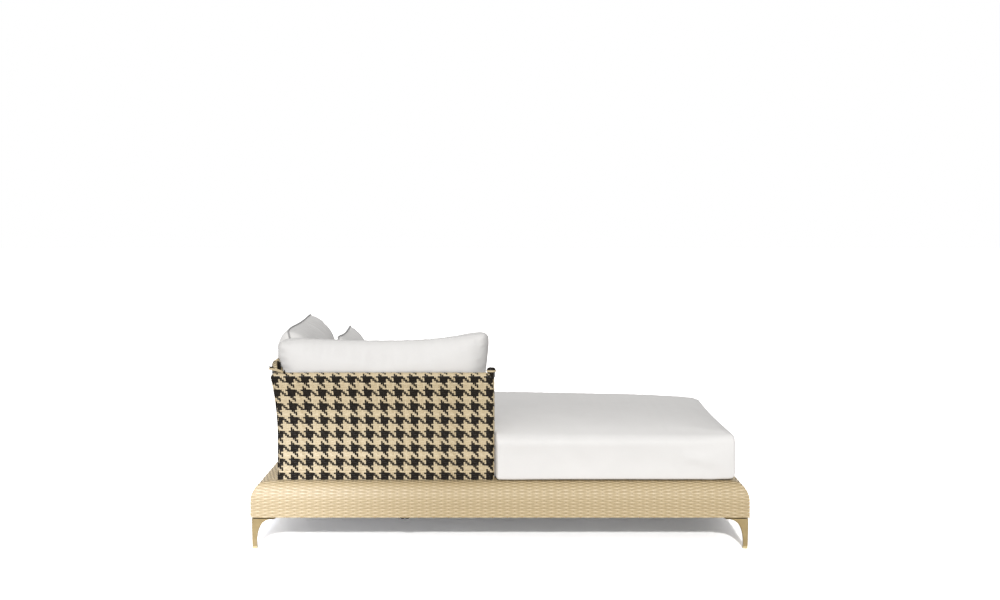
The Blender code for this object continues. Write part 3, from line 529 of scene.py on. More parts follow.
def make_materials():
    """Every material by its name, from one recipe for each kind."""
    kinds = (
        (strand_look, {
            "tan_strand": ((0.34, 0.245, 0.125), (0.54, 0.42, 0.24), (0.68, 0.555, 0.355), 0.42),
            "light_tan_strand": ((0.42, 0.325, 0.185), (0.575, 0.465, 0.29), (0.70, 0.585, 0.395), 0.42),
            "dark_strand": (
                (0.006, 0.004, 0.0025), (0.011, 0.008, 0.005), (0.022, 0.016, 0.01), 0.38, 0.12
            ),
        }),
        (woven_backing_look, {
            "woven_deck": ((0.28, 0.20, 0.11), (0.52, 0.40, 0.23)),
            # Near black: painted shade that shows through the gaps between the panel's strands
            "painted_shade_core": ((0.02, 0.015, 0.01), (0.05, 0.037, 0.024)),
        }),
        (canvas_look, {
            "canvas": ((0.775, 0.76, 0.742), (0.75, 0.735, 0.717)),
            # The back cushion's canvas: the same fabric painted darker, painted shade
            "back_canvas_painted_shade": ((0.72, 0.706, 0.69), (0.70, 0.686, 0.67)),
            # Seam cords: the canvas painted grey, painted shade along the seams
            "pale_seam_painted_shade": ((0.60, 0.59, 0.575), (0.55, 0.54, 0.53)),
            "canvas_seam": ((0.42, 0.415, 0.41), (0.36, 0.355, 0.35)),
            "lining": ((0.52, 0.52, 0.52), (0.48, 0.48, 0.48)),
        }),
        (metal_look, {
            "gold_cast": ((0.46, 0.355, 0.185), (0.40, 0.30, 0.15), 0.36, (6.0, 6.0, 6.0)),
            "aluminium": ((0.66, 0.66, 0.65), (0.54, 0.54, 0.53), 0.42, (2.0, 2.0, 20.0)),
            "steel": ((0.58, 0.58, 0.57), (0.48, 0.48, 0.47), 0.32, (12.0, 12.0, 12.0)),
            "bracket": ((0.05, 0.05, 0.047), (0.03, 0.03, 0.03), 0.5, (9.0, 9.0, 9.0), 0.5),
            "glide": ((0.72, 0.60, 0.34), (0.62, 0.50, 0.27), 0.5, (9.0, 9.0, 9.0), 0.0),
        }),
    )
    for recipe, table in kinds:
        for name, values in table.items():
            tree, shader = start_material(name)
            feed(tree, shader, recipe(tree, *values))


# Back panels


def flare(z):
    """How far a panel has curved outward at height z."""
    rise = np.maximum(0.0, z - FLARE_START)
    return FLARE_RADIUS - np.sqrt(FLARE_RADIUS**2 - rise**2)


def flare_slope(z):
    rise = np.maximum(0.0, z - FLARE_START)
    return rise / np.sqrt(FLARE_RADIUS**2 - rise**2)


def near_rim(along):
    return np.full(np.shape(along), NEAR_RIM)


def end_rim(along):
    """The end panel's rim climbs from the corner and then runs level."""
    share = clamp((along - CORNER_Y) / RIM_RISE_LENGTH)
    return NEAR_RIM + (END_RIM - NEAR_RIM) * share * share * (3 - 2 * share)


def near_world(along, out, z, place=True):
    """Panel coordinates to the frame, for a place or for a direction."""
    return vectors(along, CORNER_Y * place - out, z)


def end_world(along, out, z, place=True):
    return vectors(CORNER_X * place - out, along, z)


PANELS = (
    ("near_panel", near_world, CORNER_X, NEAR_HIGH.x - PANEL_HALF, near_rim),
    ("end_panel", end_world, CORNER_Y, END_HIGH.y - PANEL_HALF, end_rim),
)
TOTAL_ROWS = 2 * SIDE_ROWS + RIM_ROWS


def panel_surface(rim, along, row):
    """(out, z, normal out, normal z) at a row, counted up the outer side and down the inner one."""
    along, row = np.broadcast_arrays(along, row)
    crest = rim(along) - PANEL_HALF
    side = np.where(row <= TOTAL_ROWS / 2, 1.0, -1.0)
    climb = np.minimum(row, TOTAL_ROWS - row) / SIDE_ROWS
    z = PANEL_FOOT + (crest - PANEL_FOOT) * np.minimum(1.0, climb)
    slope = flare_slope(z)
    length = np.sqrt(1 + slope**2)
    turn = math.pi * (row - SIDE_ROWS) / RIM_ROWS
    on_rim = (row > SIDE_ROWS) & (row < SIDE_ROWS + RIM_ROWS)
    out = np.where(on_rim, flare(crest) + PANEL_HALF * np.cos(turn), flare(z) + side * PANEL_HALF)
    height = np.where(on_rim, crest + PANEL_HALF * np.sin(turn), z)
    normal_out = np.where(on_rim, np.cos(turn), side / length)
    normal_z = np.where(on_rim, np.sin(turn), -side * slope / length)
    return out, height, normal_out, normal_z


def warp_on_top(column, row):
    return np.mod(column + row, 2 * TWILL_FLOAT) >= TWILL_FLOAT


def is_dark(number, phase):
    return (number + phase) % (2 * COLOUR_GROUP) < COLOUR_GROUP


def strand_tone():
    return float(np.clip(RANDOM.normal(TONE_MEAN, TONE_SPREAD), 0.0, TONE_TOP))


def swing(over):
    return np.where(over, PANEL_SWING, -PANEL_SWING) - PANEL_SWING - PANEL_CROWN


def build_looks(looks, name, *nodes):
    """Dark and tan strands as two pieces; the name leaves a gap for the tone."""
    for dark, tone, material in ((True, "dark", "dark_strand"), (False, "tan", "light_tan_strand")):
        piece = looks[dark].build(name.format(tone), material)
        dress(piece, "base", "houndstooth_weave", *nodes)


def round_end(world, place, middle, radius, turn, z, tilt=0.0):
    """Centres and normals of a strand that runs round or up a panel's free end."""
    along, out, level = np.sin(turn), np.cos(turn), np.sqrt(1 - np.square(tilt))
    centers = world(place + radius * along, middle + radius * out, z)
    normals = world(level * along, level * out, tilt, place=False)
    return centers, normals


def weave_panel(name, world, corner, stop, rim):
    """Warps that go over the rim and wefts that go round the free end, each as a real strand."""
    looks = {True: Strands(), False: Strands()}
    half_warp = WARP_PITCH * STRAND_FILL / 2
    half_weft = (NEAR_RIM - PANEL_HALF - PANEL_FOOT) / SIDE_ROWS * STRAND_FILL / 2
    numbers = np.arange(int((stop - corner + PANEL_HALF) / WARP_PITCH) + 1)
    places = stop - (numbers + 0.5) * WARP_PITCH
    rows = np.arange(TOTAL_ROWS)
    stations = np.r_[0.0, rows + 0.5, TOTAL_ROWS]
    along_panel = world(1.0, 0.0, 0.0, place=False)

    def on_skin(place, row, lift):
        """Centres and normals of a strand on the skin and how far they are from the mitre."""
        out, z, n_out, n_z = panel_surface(rim, place, row)
        # The warps spread with the corner, which leans out.
        spread = 1 + WARP_FAN * flare(np.minimum(z, rim(place) - PANEL_HALF)) / (stop - corner)
        along = stop - (stop - place) * spread
        centers = world(along, out + n_out * lift, z + n_z * lift)
        return centers, world(0.0, n_out, n_z, place=False), along - (corner - out)

    def weft_side(place, column, row, height):
        """The stretch of a weft row on one side of the panel, up to the mitre."""
        centers, normals, clear = on_skin(place, height, swing(~warp_on_top(column, row)))
        kept = clear > MITRE_CLEARANCE
        return centers[kept], normals[kept], clear[kept]

    outer = rows < SIDE_ROWS + RIM_ROWS
    row_numbers = np.where(outer, rows, TOTAL_ROWS - 1 - rows)
    for number, place in enumerate(places):
        column = np.where(outer, -1 - number, ROUND_END_WARPS + number)
        lift = np.r_[-PANEL_SWING, swing(warp_on_top(column, row_numbers)), -PANEL_SWING]
        centers, normals, clear = on_skin(place, stations, lift)
        strands = looks[is_dark(number, WARP_PHASE)]
        for run in np.ma.clump_masked(np.ma.masked_greater_equal(clear, 0.0)):
            if run.stop - run.start > 2:
                strands.add(centers[run], normals[run], half_warp, strand_tone())

    turns = math.pi * (np.arange(ROUND_END_WARPS) + 0.5) / ROUND_END_WARPS
    z = panel_surface(rim, stop, stations[: SIDE_ROWS + 1])[1]
    for number, turn in enumerate(turns):
        lift = np.r_[-PANEL_SWING, swing(warp_on_top(number, rows[:SIDE_ROWS]))]
        centers, normals = round_end(world, stop, flare(z), PANEL_HALF + lift, turn, z)
        strands = looks[is_dark(-1 - number, WARP_PHASE)]
        strands.add(centers, normals, half_warp * ROUND_END_FILL, strand_tone())

    for row in range(SIDE_ROWS + RIM_ROWS):
        centers, normals, clear = weft_side(places[::-1], -1 - numbers[::-1], row, row + 0.5)
        start = centers[:1] - clear[0] * along_panel
        stretches = [(start, normals[:1]), (centers, normals)]
        if row < SIDE_ROWS:
            level = float(panel_surface(rim, stop, row + 0.5)[1])
            reach = PANEL_HALF + swing(~warp_on_top(np.arange(ROUND_END_WARPS), row))
            stretches.append(round_end(world, stop, flare(level), reach, turns, level))
            stretches.append(weft_side(places, ROUND_END_WARPS + numbers, row, TOTAL_ROWS - row - 0.5)[:2])
        else:
            end = centers[-1:] + (stop - centers[-1] @ along_panel) * along_panel
            stretches.append((end, normals[-1:]))
        centers, normals = [np.concatenate(parts) for parts in zip(*stretches)]
        looks[is_dark(row, WEFT_PHASE)].add(centers, normals, half_weft, strand_tone())

    weave_knob(looks, world, stop, rim)
    build_looks(looks, name + "_{}_strands", f"{name}_weave")
    core = painted_shade_core(name, world, corner, stop, rim)
    dress(core, "base", "houndstooth_weave", f"{name}_weave")


def weave_knob(looks, world, stop, rim):
    """Flat cap on the free end, where the end's strands gather, with a light strand round its edge."""
    crest = float(rim(stop)) - PANEL_HALF
    middle = float(flare(crest))
    place = stop + KNOB_SHIFT
    foot = crest + PANEL_HALF + KNOB_TOP - KNOB_HEIGHT
    climb = np.linspace(0.0, math.pi / 2, CURVE_STEPS)
    # Cap and neck each have a radius, a height and a tilt of the normal along a meridian.
    cap = (
        KNOB_RADIUS * np.cos(climb) ** KNOB_FLATNESS,
        foot + KNOB_HEIGHT * np.sin(climb),
        np.sin(climb) ** 3,
    )
    neck = (
        np.full(CURVE_STEPS, KNOB_NECK),
        np.linspace(crest, foot + KNOB_BAND, CURVE_STEPS),
        np.zeros(CURVE_STEPS),
    )
    for number in range(KNOB_MERIDIANS):
        turn = 2 * math.pi * number / KNOB_MERIDIANS
        for radius, z, tilt in (cap, neck):
            centers, normals = round_end(world, place, middle, radius, turn, z, tilt)
            width = np.maximum(KNOB_TIP_WIDTH, math.pi * radius / KNOB_MERIDIANS * STRAND_FILL)
            looks[True].add(centers, normals, width, strand_tone())
    turns = np.linspace(0.0, 2 * math.pi, KNOB_RING_STEPS)
    ring = round_end(world, place, middle, KNOB_RADIUS + PANEL_CROWN, turns, foot + KNOB_BAND)
    looks[False].add(*ring, KNOB_BAND, strand_tone())


def painted_shade_core(name, world, corner, stop, rim):
    """Closed core just behind the strands, which shuts the gaps between them; its near black is painted
    shade seen through the gaps.
    """
    half = PANEL_HALF - PANEL_BACKING
    arc = np.linspace(0.0, math.pi, CURVE_STEPS)[1:-1]
    heights = np.linspace(0.0, 1.0, CORE_HEIGHTS)

    def section(along, mitred, thin):
        crest = float(rim(along)) - PANEL_HALF
        z = PANEL_FOOT + (crest - PANEL_FOOT) * heights
        out = np.r_[flare(z) + thin, flare(crest) + thin * np.cos(arc), flare(z[::-1]) - thin]
        level = np.r_[z, crest + thin * np.sin(arc), z[::-1]]
        return world(corner - out if mitred else along, out, level)

    rows = [section(corner, True, half)]
    for along in np.linspace(corner + 2 * PANEL_HALF, stop, CORE_STATIONS):
        rows.append(section(along, False, half))
    for turn in np.linspace(0.0, math.pi / 2, ROUNDING_STEPS)[1:-1]:
        rows.append(section(stop + half * math.sin(turn), False, half * math.cos(turn)))
    return grid_mesh(f"{name}_core", rows, "painted_shade_core", close_columns=True)


def stitch_corner(looks):
    """Stitched edge up the mitred corner."""
    heights = np.linspace(PANEL_FOOT, NEAR_RIM - PANEL_HALF, SIDE_ROWS * 2 + 1)
    reach = flare(heights) + PANEL_HALF - CORNER_BEAD_SINK
    line = vectors(CORNER_X - reach, CORNER_Y - reach, heights)
    face = np.array((-1.0, -1.0, 0.0)) / math.sqrt(2)
    lift = STITCH_LIFT * np.sin(np.linspace(0.0, math.pi, STITCH_STEPS + 1))
    for number, start in enumerate(range(0, len(line) - STITCH_STEPS, STITCH_STEPS)):
        centers = line[start : start + STITCH_STEPS + 1] + face * lift[:, None]
        looks[number % 2 == 0].add(centers, face, CORNER_BEAD, strand_tone(), BEAD_CROWN, BEAD_EDGE)


def curl_ends(looks):
    """Strand ends that curl out at the top of the corner."""
    lean = float(flare(NEAR_RIM - PANEL_HALF))
    tip = np.array((CORNER_X - lean, CORNER_Y - lean, NEAR_RIM))
    for dark, *path in CURLS:
        known = np.arange(len(path))
        steps = np.linspace(0.0, known[-1], CURVE_STEPS)
        *place, width = [np.interp(steps, known, values) for values in np.transpose(path)]
        centers = tip + np.stack(place, axis=1)
        looks[dark].add(centers, CURL_FACE, width, strand_tone(), CURL_CROWN, CURL_EDGE)


def wrap_rim(looks):
    """Ribs wrapped over the end panel's rim where it climbs from the corner."""
    turns = np.linspace(-RIM_RIB_WRAP, math.pi + RIM_RIB_WRAP, RIM_RIB_STEPS)
    normals = end_world(0.0, np.cos(turns), np.sin(turns), place=False)
    for number in range(RIM_RIBS):
        along = CORNER_Y + (number + 0.5) * RIM_RIB_PITCH
        crest = float(end_rim(along)) - PANEL_HALF
        out = float(flare(crest)) + PANEL_HALF * np.cos(turns)
        centers = end_world(along, out, crest + PANEL_HALF * np.sin(turns))
        width = RIM_RIB_PITCH * RIM_RIB_FILL
        looks[number % 3 == 1].add(centers, normals, width, strand_tone(), BEAD_CROWN, BEAD_EDGE)


def finish_corner():
    looks = {True: Strands(), False: Strands()}
    for weave in (stitch_corner, curl_ends, wrap_rim):
        weave(looks)
    build_looks(looks, "corner_stitch_{}")


# Platform


SHOULDER_TURNS = np.linspace(0.0, math.pi / 2, SHOULDER_POINTS)
SHOULDER_STEPS = np.hypot(
    SHOULDER_DEPTH * np.diff(np.cos(SHOULDER_TURNS)), SHOULDER_DROP * np.diff(np.sin(SHOULDER_TURNS))
)
SHOULDER_RUNS = np.r_[0.0, np.cumsum(SHOULDER_STEPS)]
SIDE_RUN = DECK_TOP - SHOULDER_DROP - UNDERSIDE
# The way each side faces
SIDES = {"near": (0, -1), "far": (0, 1), "left": (-1, 0), "right": (1, 0)}


def base_profile(run):
    """(inset, z, normal out, normal z) along the skin, from its lower edge up onto the ledge."""
    turn = np.interp(run - SIDE_RUN, SHOULDER_RUNS, SHOULDER_TURNS)
    inset = SHOULDER_DEPTH * (1 - np.cos(turn)) + np.maximum(0.0, run - SIDE_RUN - SHOULDER_RUNS[-1])
    z = UNDERSIDE + np.minimum(run, SIDE_RUN) + SHOULDER_DROP * np.sin(turn)
    normal = np.stack((SHOULDER_DROP * np.cos(turn), SHOULDER_DEPTH * np.sin(turn)))
    normal /= np.linalg.norm(normal, axis=0)
    return inset, z, normal[0], normal[1]


def side_world(side, along, inset, z, place=True):
    """Side coordinates to the frame: along the side, in from its face, up."""
    x, y = SIDES[side]
    depth = (HALF_X if x else HALF_Y) * place - inset
    return vectors(x * depth - y * along, y * depth + x * along, z)


def weave_side(side):
    """Rows of flat strand woven in and out of upright stakes on one side of the platform."""
    half_length = HALF_Y if SIDES[side][0] else HALF_X
    strands = Strands()
    row_count = int((SIDE_RUN + SHOULDER_RUNS[-1] + LEDGE_RUN) / ROW_PITCH)
    sink = BASE_SWING + BASE_CROWN
    stakes = 2 * int(half_length / STAKE_PITCH)
    pitch = 2 * half_length / stakes
    for row in range(row_count):
        inset, z, n_out, n_z = base_profile((row + 0.5) * ROW_PITCH)
        end = half_length - float(inset)
        samples = round(2 * end / pitch * SAMPLES_PER_STAKE)
        along = np.linspace(-end, end, samples + 1)
        over = np.cos(math.pi * (along / pitch + row))
        lift = BASE_SWING * over - sink
        centers = side_world(side, along, inset - n_out * lift, z + n_z * lift)
        normals = side_world(side, 0.0, -n_out, n_z, place=False)
        # The tone: a random tone for each row plus a painted highlight that rises at the crest of each
        # float
        tone = RANDOM.normal(ROW_TONE, ROW_TONE_SPREAD) + FLOAT_PAINTED_HIGHLIGHT * np.maximum(0.0, over) ** 2
        strands.add(centers, normals, ROW_PITCH * STRAND_FILL / 2, tone, BASE_CROWN, BASE_EDGE)
    runs = np.arange(row_count + 1) * ROW_PITCH
    inset, z, n_out, n_z = base_profile(runs)
    for stake in range(-stakes // 2, stakes // 2 + 1):
        along = stake * pitch
        keep = np.abs(along) <= half_length - inset - STAKE_HALF_WIDTH
        if keep.sum() < 3:
            continue
        centers = side_world(side, along, inset + n_out * sink, z - n_z * sink)[keep]
        normals = side_world(side, 0.0, -n_out, n_z, place=False)[keep]
        # Painted shade: stakes darker than the rows, where they show between the floats
        strands.add(centers, normals, STAKE_HALF_WIDTH, STAKE_PAINTED_SHADE, BASE_CROWN / 2, BASE_EDGE)
    piece = strands.build(f"base_{side}_strands", "tan_strand")
    dress(piece, "base", "tan_weave", "base_weave")


def base_shell():
    """Closed deck and sides behind the strands."""
    def ring(run, wall):
        inset, z, n_out, n_z = (float(value) for value in base_profile(run))
        x, y = HALF_X - inset - wall * n_out, HALF_Y - inset - wall * n_out
        level = z - wall * n_z
        return [(-x, -y, level), (x, -y, level), (x, y, level), (-x, y, level)]

    runs = np.r_[0.0, np.linspace(SIDE_RUN, SIDE_RUN + SHOULDER_RUNS[-1], CURVE_STEPS)]
    rows = [ring(run, BASE_BACKING + BASE_BACKING_WALL) for run in runs[::-1]]
    rows += [ring(run, BASE_BACKING) for run in runs]
    shell = grid_mesh("base_shell", rows, "woven_deck", close_columns=True)
    shell.data.materials.append(MATERIALS["lining"])
    inner_sides = 4 * (len(runs) - 1)
    inner_top = 4 * (len(rows) - 1)
    for face in shell.data.polygons:
        face.material_index = int(face.index < inner_sides or face.index == inner_top)
    dress(shell, "base", "tan_weave", "base_weave")


# Legs


def cast_leg(name, x_side, y_side):
    """Leg that sweeps in from its wide top plate to a slim foot."""
    def ring(z, inset, width):
        turns = np.linspace(0.0, 2 * math.pi, LEG_SIDES, endpoint=False)
        c, s = np.cos(turns), np.sin(turns)
        power = LEG_SQUARENESS
        reach = width / 2 / (np.abs(c) ** power + np.abs(s) ** power) ** (1 / power)
        x = x_side * (HALF_X - inset - width / 2) + reach * c
        y = y_side * (HALF_Y - inset - width / 2) + reach * s
        return vectors(x, y, z)

    top, bottom = LEG_HIGH.z, LEG_LOW.z
    slim_inset, slim_width = LEG_TOP_INSET + LEG_GROOVE_DEPTH, LEG_TOP_WIDTH - 2 * LEG_GROOVE_DEPTH
    plate_top = top - LEG_GROOVE_HEIGHT
    rows = [
        ring(top, slim_inset, slim_width),
        ring(plate_top, slim_inset, slim_width),
        ring(plate_top, LEG_TOP_INSET, LEG_TOP_WIDTH),
    ]
    sweep_top = plate_top - LEG_LIP
    for step in range(LEG_RINGS):
        drop = (step / (LEG_RINGS - 1)) ** LEG_RING_CROWDING
        sweep = (1 - drop**LEG_SWEEP_POWER) ** (1 / LEG_SWEEP_POWER)
        slim = LEG_SWEEP_FOOT_WIDTH + (LEG_FOOT_WIDTH - LEG_SWEEP_FOOT_WIDTH) * drop
        width = slim + (LEG_TOP_WIDTH - LEG_SWEEP_FOOT_WIDTH) * sweep
        inset = LEG_TOP_INSET + (LEG_FOOT_INSET - LEG_TOP_INSET) * drop
        rows.append(ring(sweep_top - drop * (sweep_top - bottom), inset, width))
    return grid_mesh(name, rows, "gold_cast", close_columns=True)


def build_legs():
    for y_name, y_side in (("near", -1), ("far", 1)):
        for x_name, x_side in (("left", -1), ("right", 1)):
            place = f"{y_name}_{x_name}"
            piece = cast_leg(f"cast_leg_{place}", x_side, y_side)
            dress(piece, "base", "gold_cast_metal", f"leg_{place}")


# Cushions


def coordinates_of(mesh):
    points = np.empty(len(mesh.vertices) * 3, np.float32)
    mesh.vertices.foreach_get("co", points)
    return points.reshape(-1, 3).astype(float)


def set_coordinates(obj, points):
    obj.data.vertices.foreach_set("co", points.astype(np.float32).ravel())
    obj.data.update()


def inflate(obj, pressure, cap, pinned=()):
    """Blows slightly slack fabric up by cloth simulation and keeps the result as plain mesh."""
    scene = bpy.context.scene
    start = coordinates_of(obj.data)
    cloth = obj.modifiers.new("fabric", "CLOTH")
    cloth.point_cache.frame_end = CLOTH_FRAMES
    for key, value in CLOTH_SETTINGS.items():
        setattr(cloth.settings, key, value)
    cloth.settings.uniform_pressure_force = pressure
    cloth.settings.effector_weights.gravity = 0.0
    if len(pinned):
        group = obj.vertex_groups.new(name="seam")
        group.add(pinned.tolist(), 1.0, "REPLACE")
        cloth.settings.vertex_group_mass = group.name
    for step in range(1, CLOTH_FRAMES + 1):
        scene.frame_set(step)
    move = coordinates_of(obj.evaluated_get(bpy.context.evaluated_depsgraph_get()).to_mesh()) - start
    obj.modifiers.remove(cloth)
    obj.vertex_groups.clear()
    scene.frame_set(1)
    length = np.linalg.norm(move, axis=1)
    move *= (cap * np.tanh(length / cap) / np.maximum(length, 1e-9))[:, None]
    set_coordinates(obj, start + move)


def gathers(along, away, reach):
    """Puckers that run off a seam: waves along it that die out away from it."""
    total = np.zeros_like(along)
    for _ in range(GATHER_WAVES):
        number = 2 * math.pi / RANDOM.uniform(GATHER_SHORTEST, GATHER_LONGEST)
        total += np.sin(number * along + RANDOM.uniform(0.0, 2 * math.pi))
    fade = np.exp(-away / reach) * np.minimum(1.0, away / GATHER_START)
    return total / math.sqrt(GATHER_WAVES) * fade


def sewn_form(name, size):
    """Two sheets sewn round their edge and stuffed. Local x runs along, y through and z up."""
    length, height = size["length"], size["height"]
    columns, rows = int(length / CLOTH_GRID), int(height / CLOTH_GRID)
    u, v = np.meshgrid(np.linspace(-1.0, 1.0, columns + 1), np.linspace(-1.0, 1.0, rows + 1))
    draw_in = size["draw_in"]
    x = length / 2 * u * (1 - draw_in * height / length * (1 - v * v))
    z = height / 2 * v * (1 - draw_in * (1 - u * u))
    for end, ear in zip((-1.0, 1.0), size["ears"]):
        z += ear * np.maximum(0.0, end * u) ** EAR_POWER * (v + 1) / 2
    x += size["splay"] * np.maximum(0.0, u) ** 2 * v
    soften = size["corner"] * np.abs(u * v) ** CORNER_POWER
    x -= np.sign(u) * soften
    z -= np.sign(v) * soften
    upward = (1 - v**UPWARD_POWER) ** size["section"]
    full = size["thickness"] / 2 * np.sqrt(1 - u**LENGTHWISE_POWER) * upward
    faces = []
    for side in (-size["rear"], 1.0):
        pucker = np.zeros_like(full)
        for end in (-1.0, 1.0):
            pucker += gathers(x, (1 - end * v) * height / 2, size["gather_reach"])
            pucker += gathers(z, (1 - end * u) * length / 2, size["gather_reach"])
        y = side * (full + size["gather"] * pucker * (full > 0))
        # The top rolls over towards local -y, which carries the seam off the crest.
        turn = size["roll"] * clamp((v - ROLL_START) / (1 - ROLL_START))
        pivot = height / 2 * ROLL_START
        rolled_y = y * np.cos(turn) - (z - pivot) * np.sin(turn)
        rolled_z = pivot + y * np.sin(turn) + (z - pivot) * np.cos(turn)
        faces.append(vectors(x, rolled_y, rolled_z))
    front, back = faces
    index = np.arange(u.size).reshape(u.shape)
    other = index.copy()
    other[1:-1, 1:-1] = u.size + np.arange((rows - 1) * (columns - 1)).reshape(rows - 1, columns - 1)
    points = np.concatenate((front.reshape(-1, 3), back[1:-1, 1:-1].reshape(-1, 3)))
    mesh = bpy.data.meshes.new(name)
    mesh.from_pydata(points.tolist(), [], quads(index) + [face[::-1] for face in quads(other)])
    mesh.shade_smooth()
    obj = new_object(name, mesh, size["canvas"])
    seam = np.r_[index[0, :-1], index[:-1, -1], index[-1, :0:-1], index[:0:-1, 0]]
    return obj, seam


def seat_along(x):
    """Place along the seat, from -1 at its left end to 1 at its right one."""
    return (2 * x - SEAT_LOW.x - SEAT_HIGH.x) / (SEAT_HIGH.x - SEAT_LOW.x)


def seat_crown(x, y):
    """How far the seat's top swells over its edge."""
    u = seat_along(x)
    v = (2 * y - SEAT_LOW.y - SEAT_HIGH.y) / (SEAT_HIGH.y - SEAT_LOW.y)
    level = SEAT_CROWN * (1 - SEAT_CROWN_FALL * np.maximum(0.0, u))
    across = np.abs(v) ** np.where(v < 0, SEAT_NEAR_ROUNDING, SEAT_FAR_ROUNDING)
    return level * np.maximum(0.0, 1 - u**SEAT_END_ROUNDING) * np.maximum(0.0, 1 - across)


def rest_on_seat(points):
    top = SEAT_FOOT + SEAT_EDGE_TOP + seat_crown(points[:, 0], points[:, 1])
    points[:, 2] = np.maximum(points[:, 2], top + SOFT_GAP)


def lie_on_panel(points, axis, corner, rim):
    """Keeps points off a panel's inner face, which rounds over at the rim."""
    z = points[:, 2]
    rise = clamp((z - rim + PANEL_HALF) / PANEL_HALF)
    over = np.maximum(0.0, z - rim - RIM_CLEARANCE)
    inner = RIM_CLEARANCE / 2 * (rise > 0) + PANEL_HALF * np.sqrt(1 - rise**2) - RIM_SPILL * over
    face = corner - flare(np.minimum(z, rim - PANEL_HALF)) + inner + SOFT_GAP
    points[:, axis] = np.maximum(points[:, axis], face)


def lie_on_near_panel(points):
    lie_on_panel(points, 1, CORNER_Y, NEAR_RIM)


def lie_on_end_panel(points):
    lie_on_panel(points, 0, CORNER_X, end_rim(points[:, 1]))


def press(obj, limits):
    """Presses a soft form against what it lies on."""
    points = coordinates_of(obj.data)
    for limit in limits:
        limit(points)
    set_coordinates(obj, points)


def stuff(obj, seam, matrix, limits):
    """Places a sewn form, blows it up between the things it lies on and lets it settle there."""
    points = coordinates_of(obj.data)
    set_coordinates(obj, points @ np.array(matrix.to_3x3()).T + np.array(matrix.translation))
    press(obj, limits)
    inflate(obj, CLOTH_PRESSURE, CLOTH_CAP, seam)
    press(obj, limits)


def sew(obj, seam, body, material, radius):
    """Seam cord along a cushion's edge."""
    path = coordinates_of(obj.data)[seam]
    along = np.roll(path, -1, axis=0) - np.roll(path, 1, axis=0)
    along /= np.linalg.norm(along, axis=1)[:, None]
    out = path - path.mean(0)
    out -= along * (out * along).sum(1)[:, None]
    out /= np.linalg.norm(out, axis=1)[:, None]
    across = np.cross(along, out)
    turns = np.linspace(0.0, 2 * math.pi, SEAM_SIDES, endpoint=False)
    rings = [path + radius * (math.cos(t) * out + math.sin(t) * across) for t in turns]
    rows = np.stack(rings, axis=1)
    cord = grid_mesh(f"{obj.name}_seam", rows, material, close_rows=True, close_columns=True)
    dress(cord, body, "canvas")


def seat_ring(x):
    """One section across the seat: up the near side, over the top, down the far side and back under it."""
    to_end = min(x - SEAT_LOW.x, SEAT_HIGH.x - x, SEAT_END_RADIUS)
    lost = SEAT_END_RADIUS - math.sqrt(max(0.0, SEAT_END_RADIUS**2 - (SEAT_END_RADIUS - to_end) ** 2))
    step = clamp((x - SEAT_NOTCH_X) / SEAT_NOTCH_BLEND)
    bulge = math.sqrt(1 - (1 - step) ** 2)
    near = SEAT_NOTCH_Y + (SEAT_NEAR - SEAT_NOTCH_Y) * bulge + lost * SEAT_CORNER_EASE
    far = SEAT_HIGH.y - lost * SEAT_CORNER_EASE
    corner = clamp(1 - (SEAT_HIGH.x - x) / SEAT_CORNER_LIFT_LENGTH)
    foot = SEAT_FOOT + lost + SEAT_CORNER_LIFT * corner**2
    top = SEAT_FOOT + SEAT_EDGE_TOP - lost
    low, high = foot + SEAT_FOOT_RADIUS, top - SEAT_EDGE_RADIUS
    draw = SEAT_DRAW_IN * max(0.0, 1 - seat_along(x) ** 2)
    arc = np.linspace(0.0, math.pi / 2, ROUNDING_STEPS)
    share = np.linspace(0.0, 1.0, SEAT_SIDE_STEPS)[1:-1]

    # Both long sides have a rounded foot, a face that is drawn in and a rounded top edge.
    inset = np.r_[
        SEAT_FOOT_RADIUS * (1 - np.sin(arc)),
        draw * np.sin(math.pi * share),
        SEAT_EDGE_RADIUS * (1 - np.cos(arc)),
    ]
    height = np.r_[
        low - SEAT_FOOT_RADIUS * np.cos(arc),
        low + (high - low) * share,
        high + SEAT_EDGE_RADIUS * np.sin(arc),
    ]

    def side(y):
        z = height.copy()
        z[-len(arc) :] += seat_crown(x, y[-len(arc) :])
        return z

    near_y, far_y = near + inset, far - inset
    over = np.linspace(near + SEAT_EDGE_RADIUS, far - SEAT_EDGE_RADIUS, SEAT_TOP_STEPS)[1:-1]
    under = np.linspace(far - SEAT_FOOT_RADIUS, near + SEAT_FOOT_RADIUS, SEAT_UNDER_STEPS)[1:-1]
    y = np.r_[near_y, over, far_y[::-1], under]
    z = np.r_[side(near_y), top + seat_crown(x, over), side(far_y)[::-1], np.full_like(under, foot)]
    return vectors(x, y, z)


def seat_stations():
    """Places of the seat's sections, closer together where it rounds."""
    rounding = 1 - np.cos(np.linspace(0.0, math.pi / 2, SEAT_END_STEPS))

    def even(start, stop):
        return np.linspace(start, stop, int((stop - start) / SEAT_GRID))[1:]

    return np.r_[
        SEAT_LOW.x + SEAT_END_RADIUS * rounding,
        even(SEAT_LOW.x + SEAT_END_RADIUS, SEAT_NOTCH_X),
        SEAT_NOTCH_X + SEAT_NOTCH_BLEND * rounding[1:],
        even(SEAT_NOTCH_X + SEAT_NOTCH_BLEND, SEAT_HIGH.x - SEAT_END_RADIUS),
        SEAT_HIGH.x - SEAT_END_RADIUS * rounding[-2::-1],
    ]


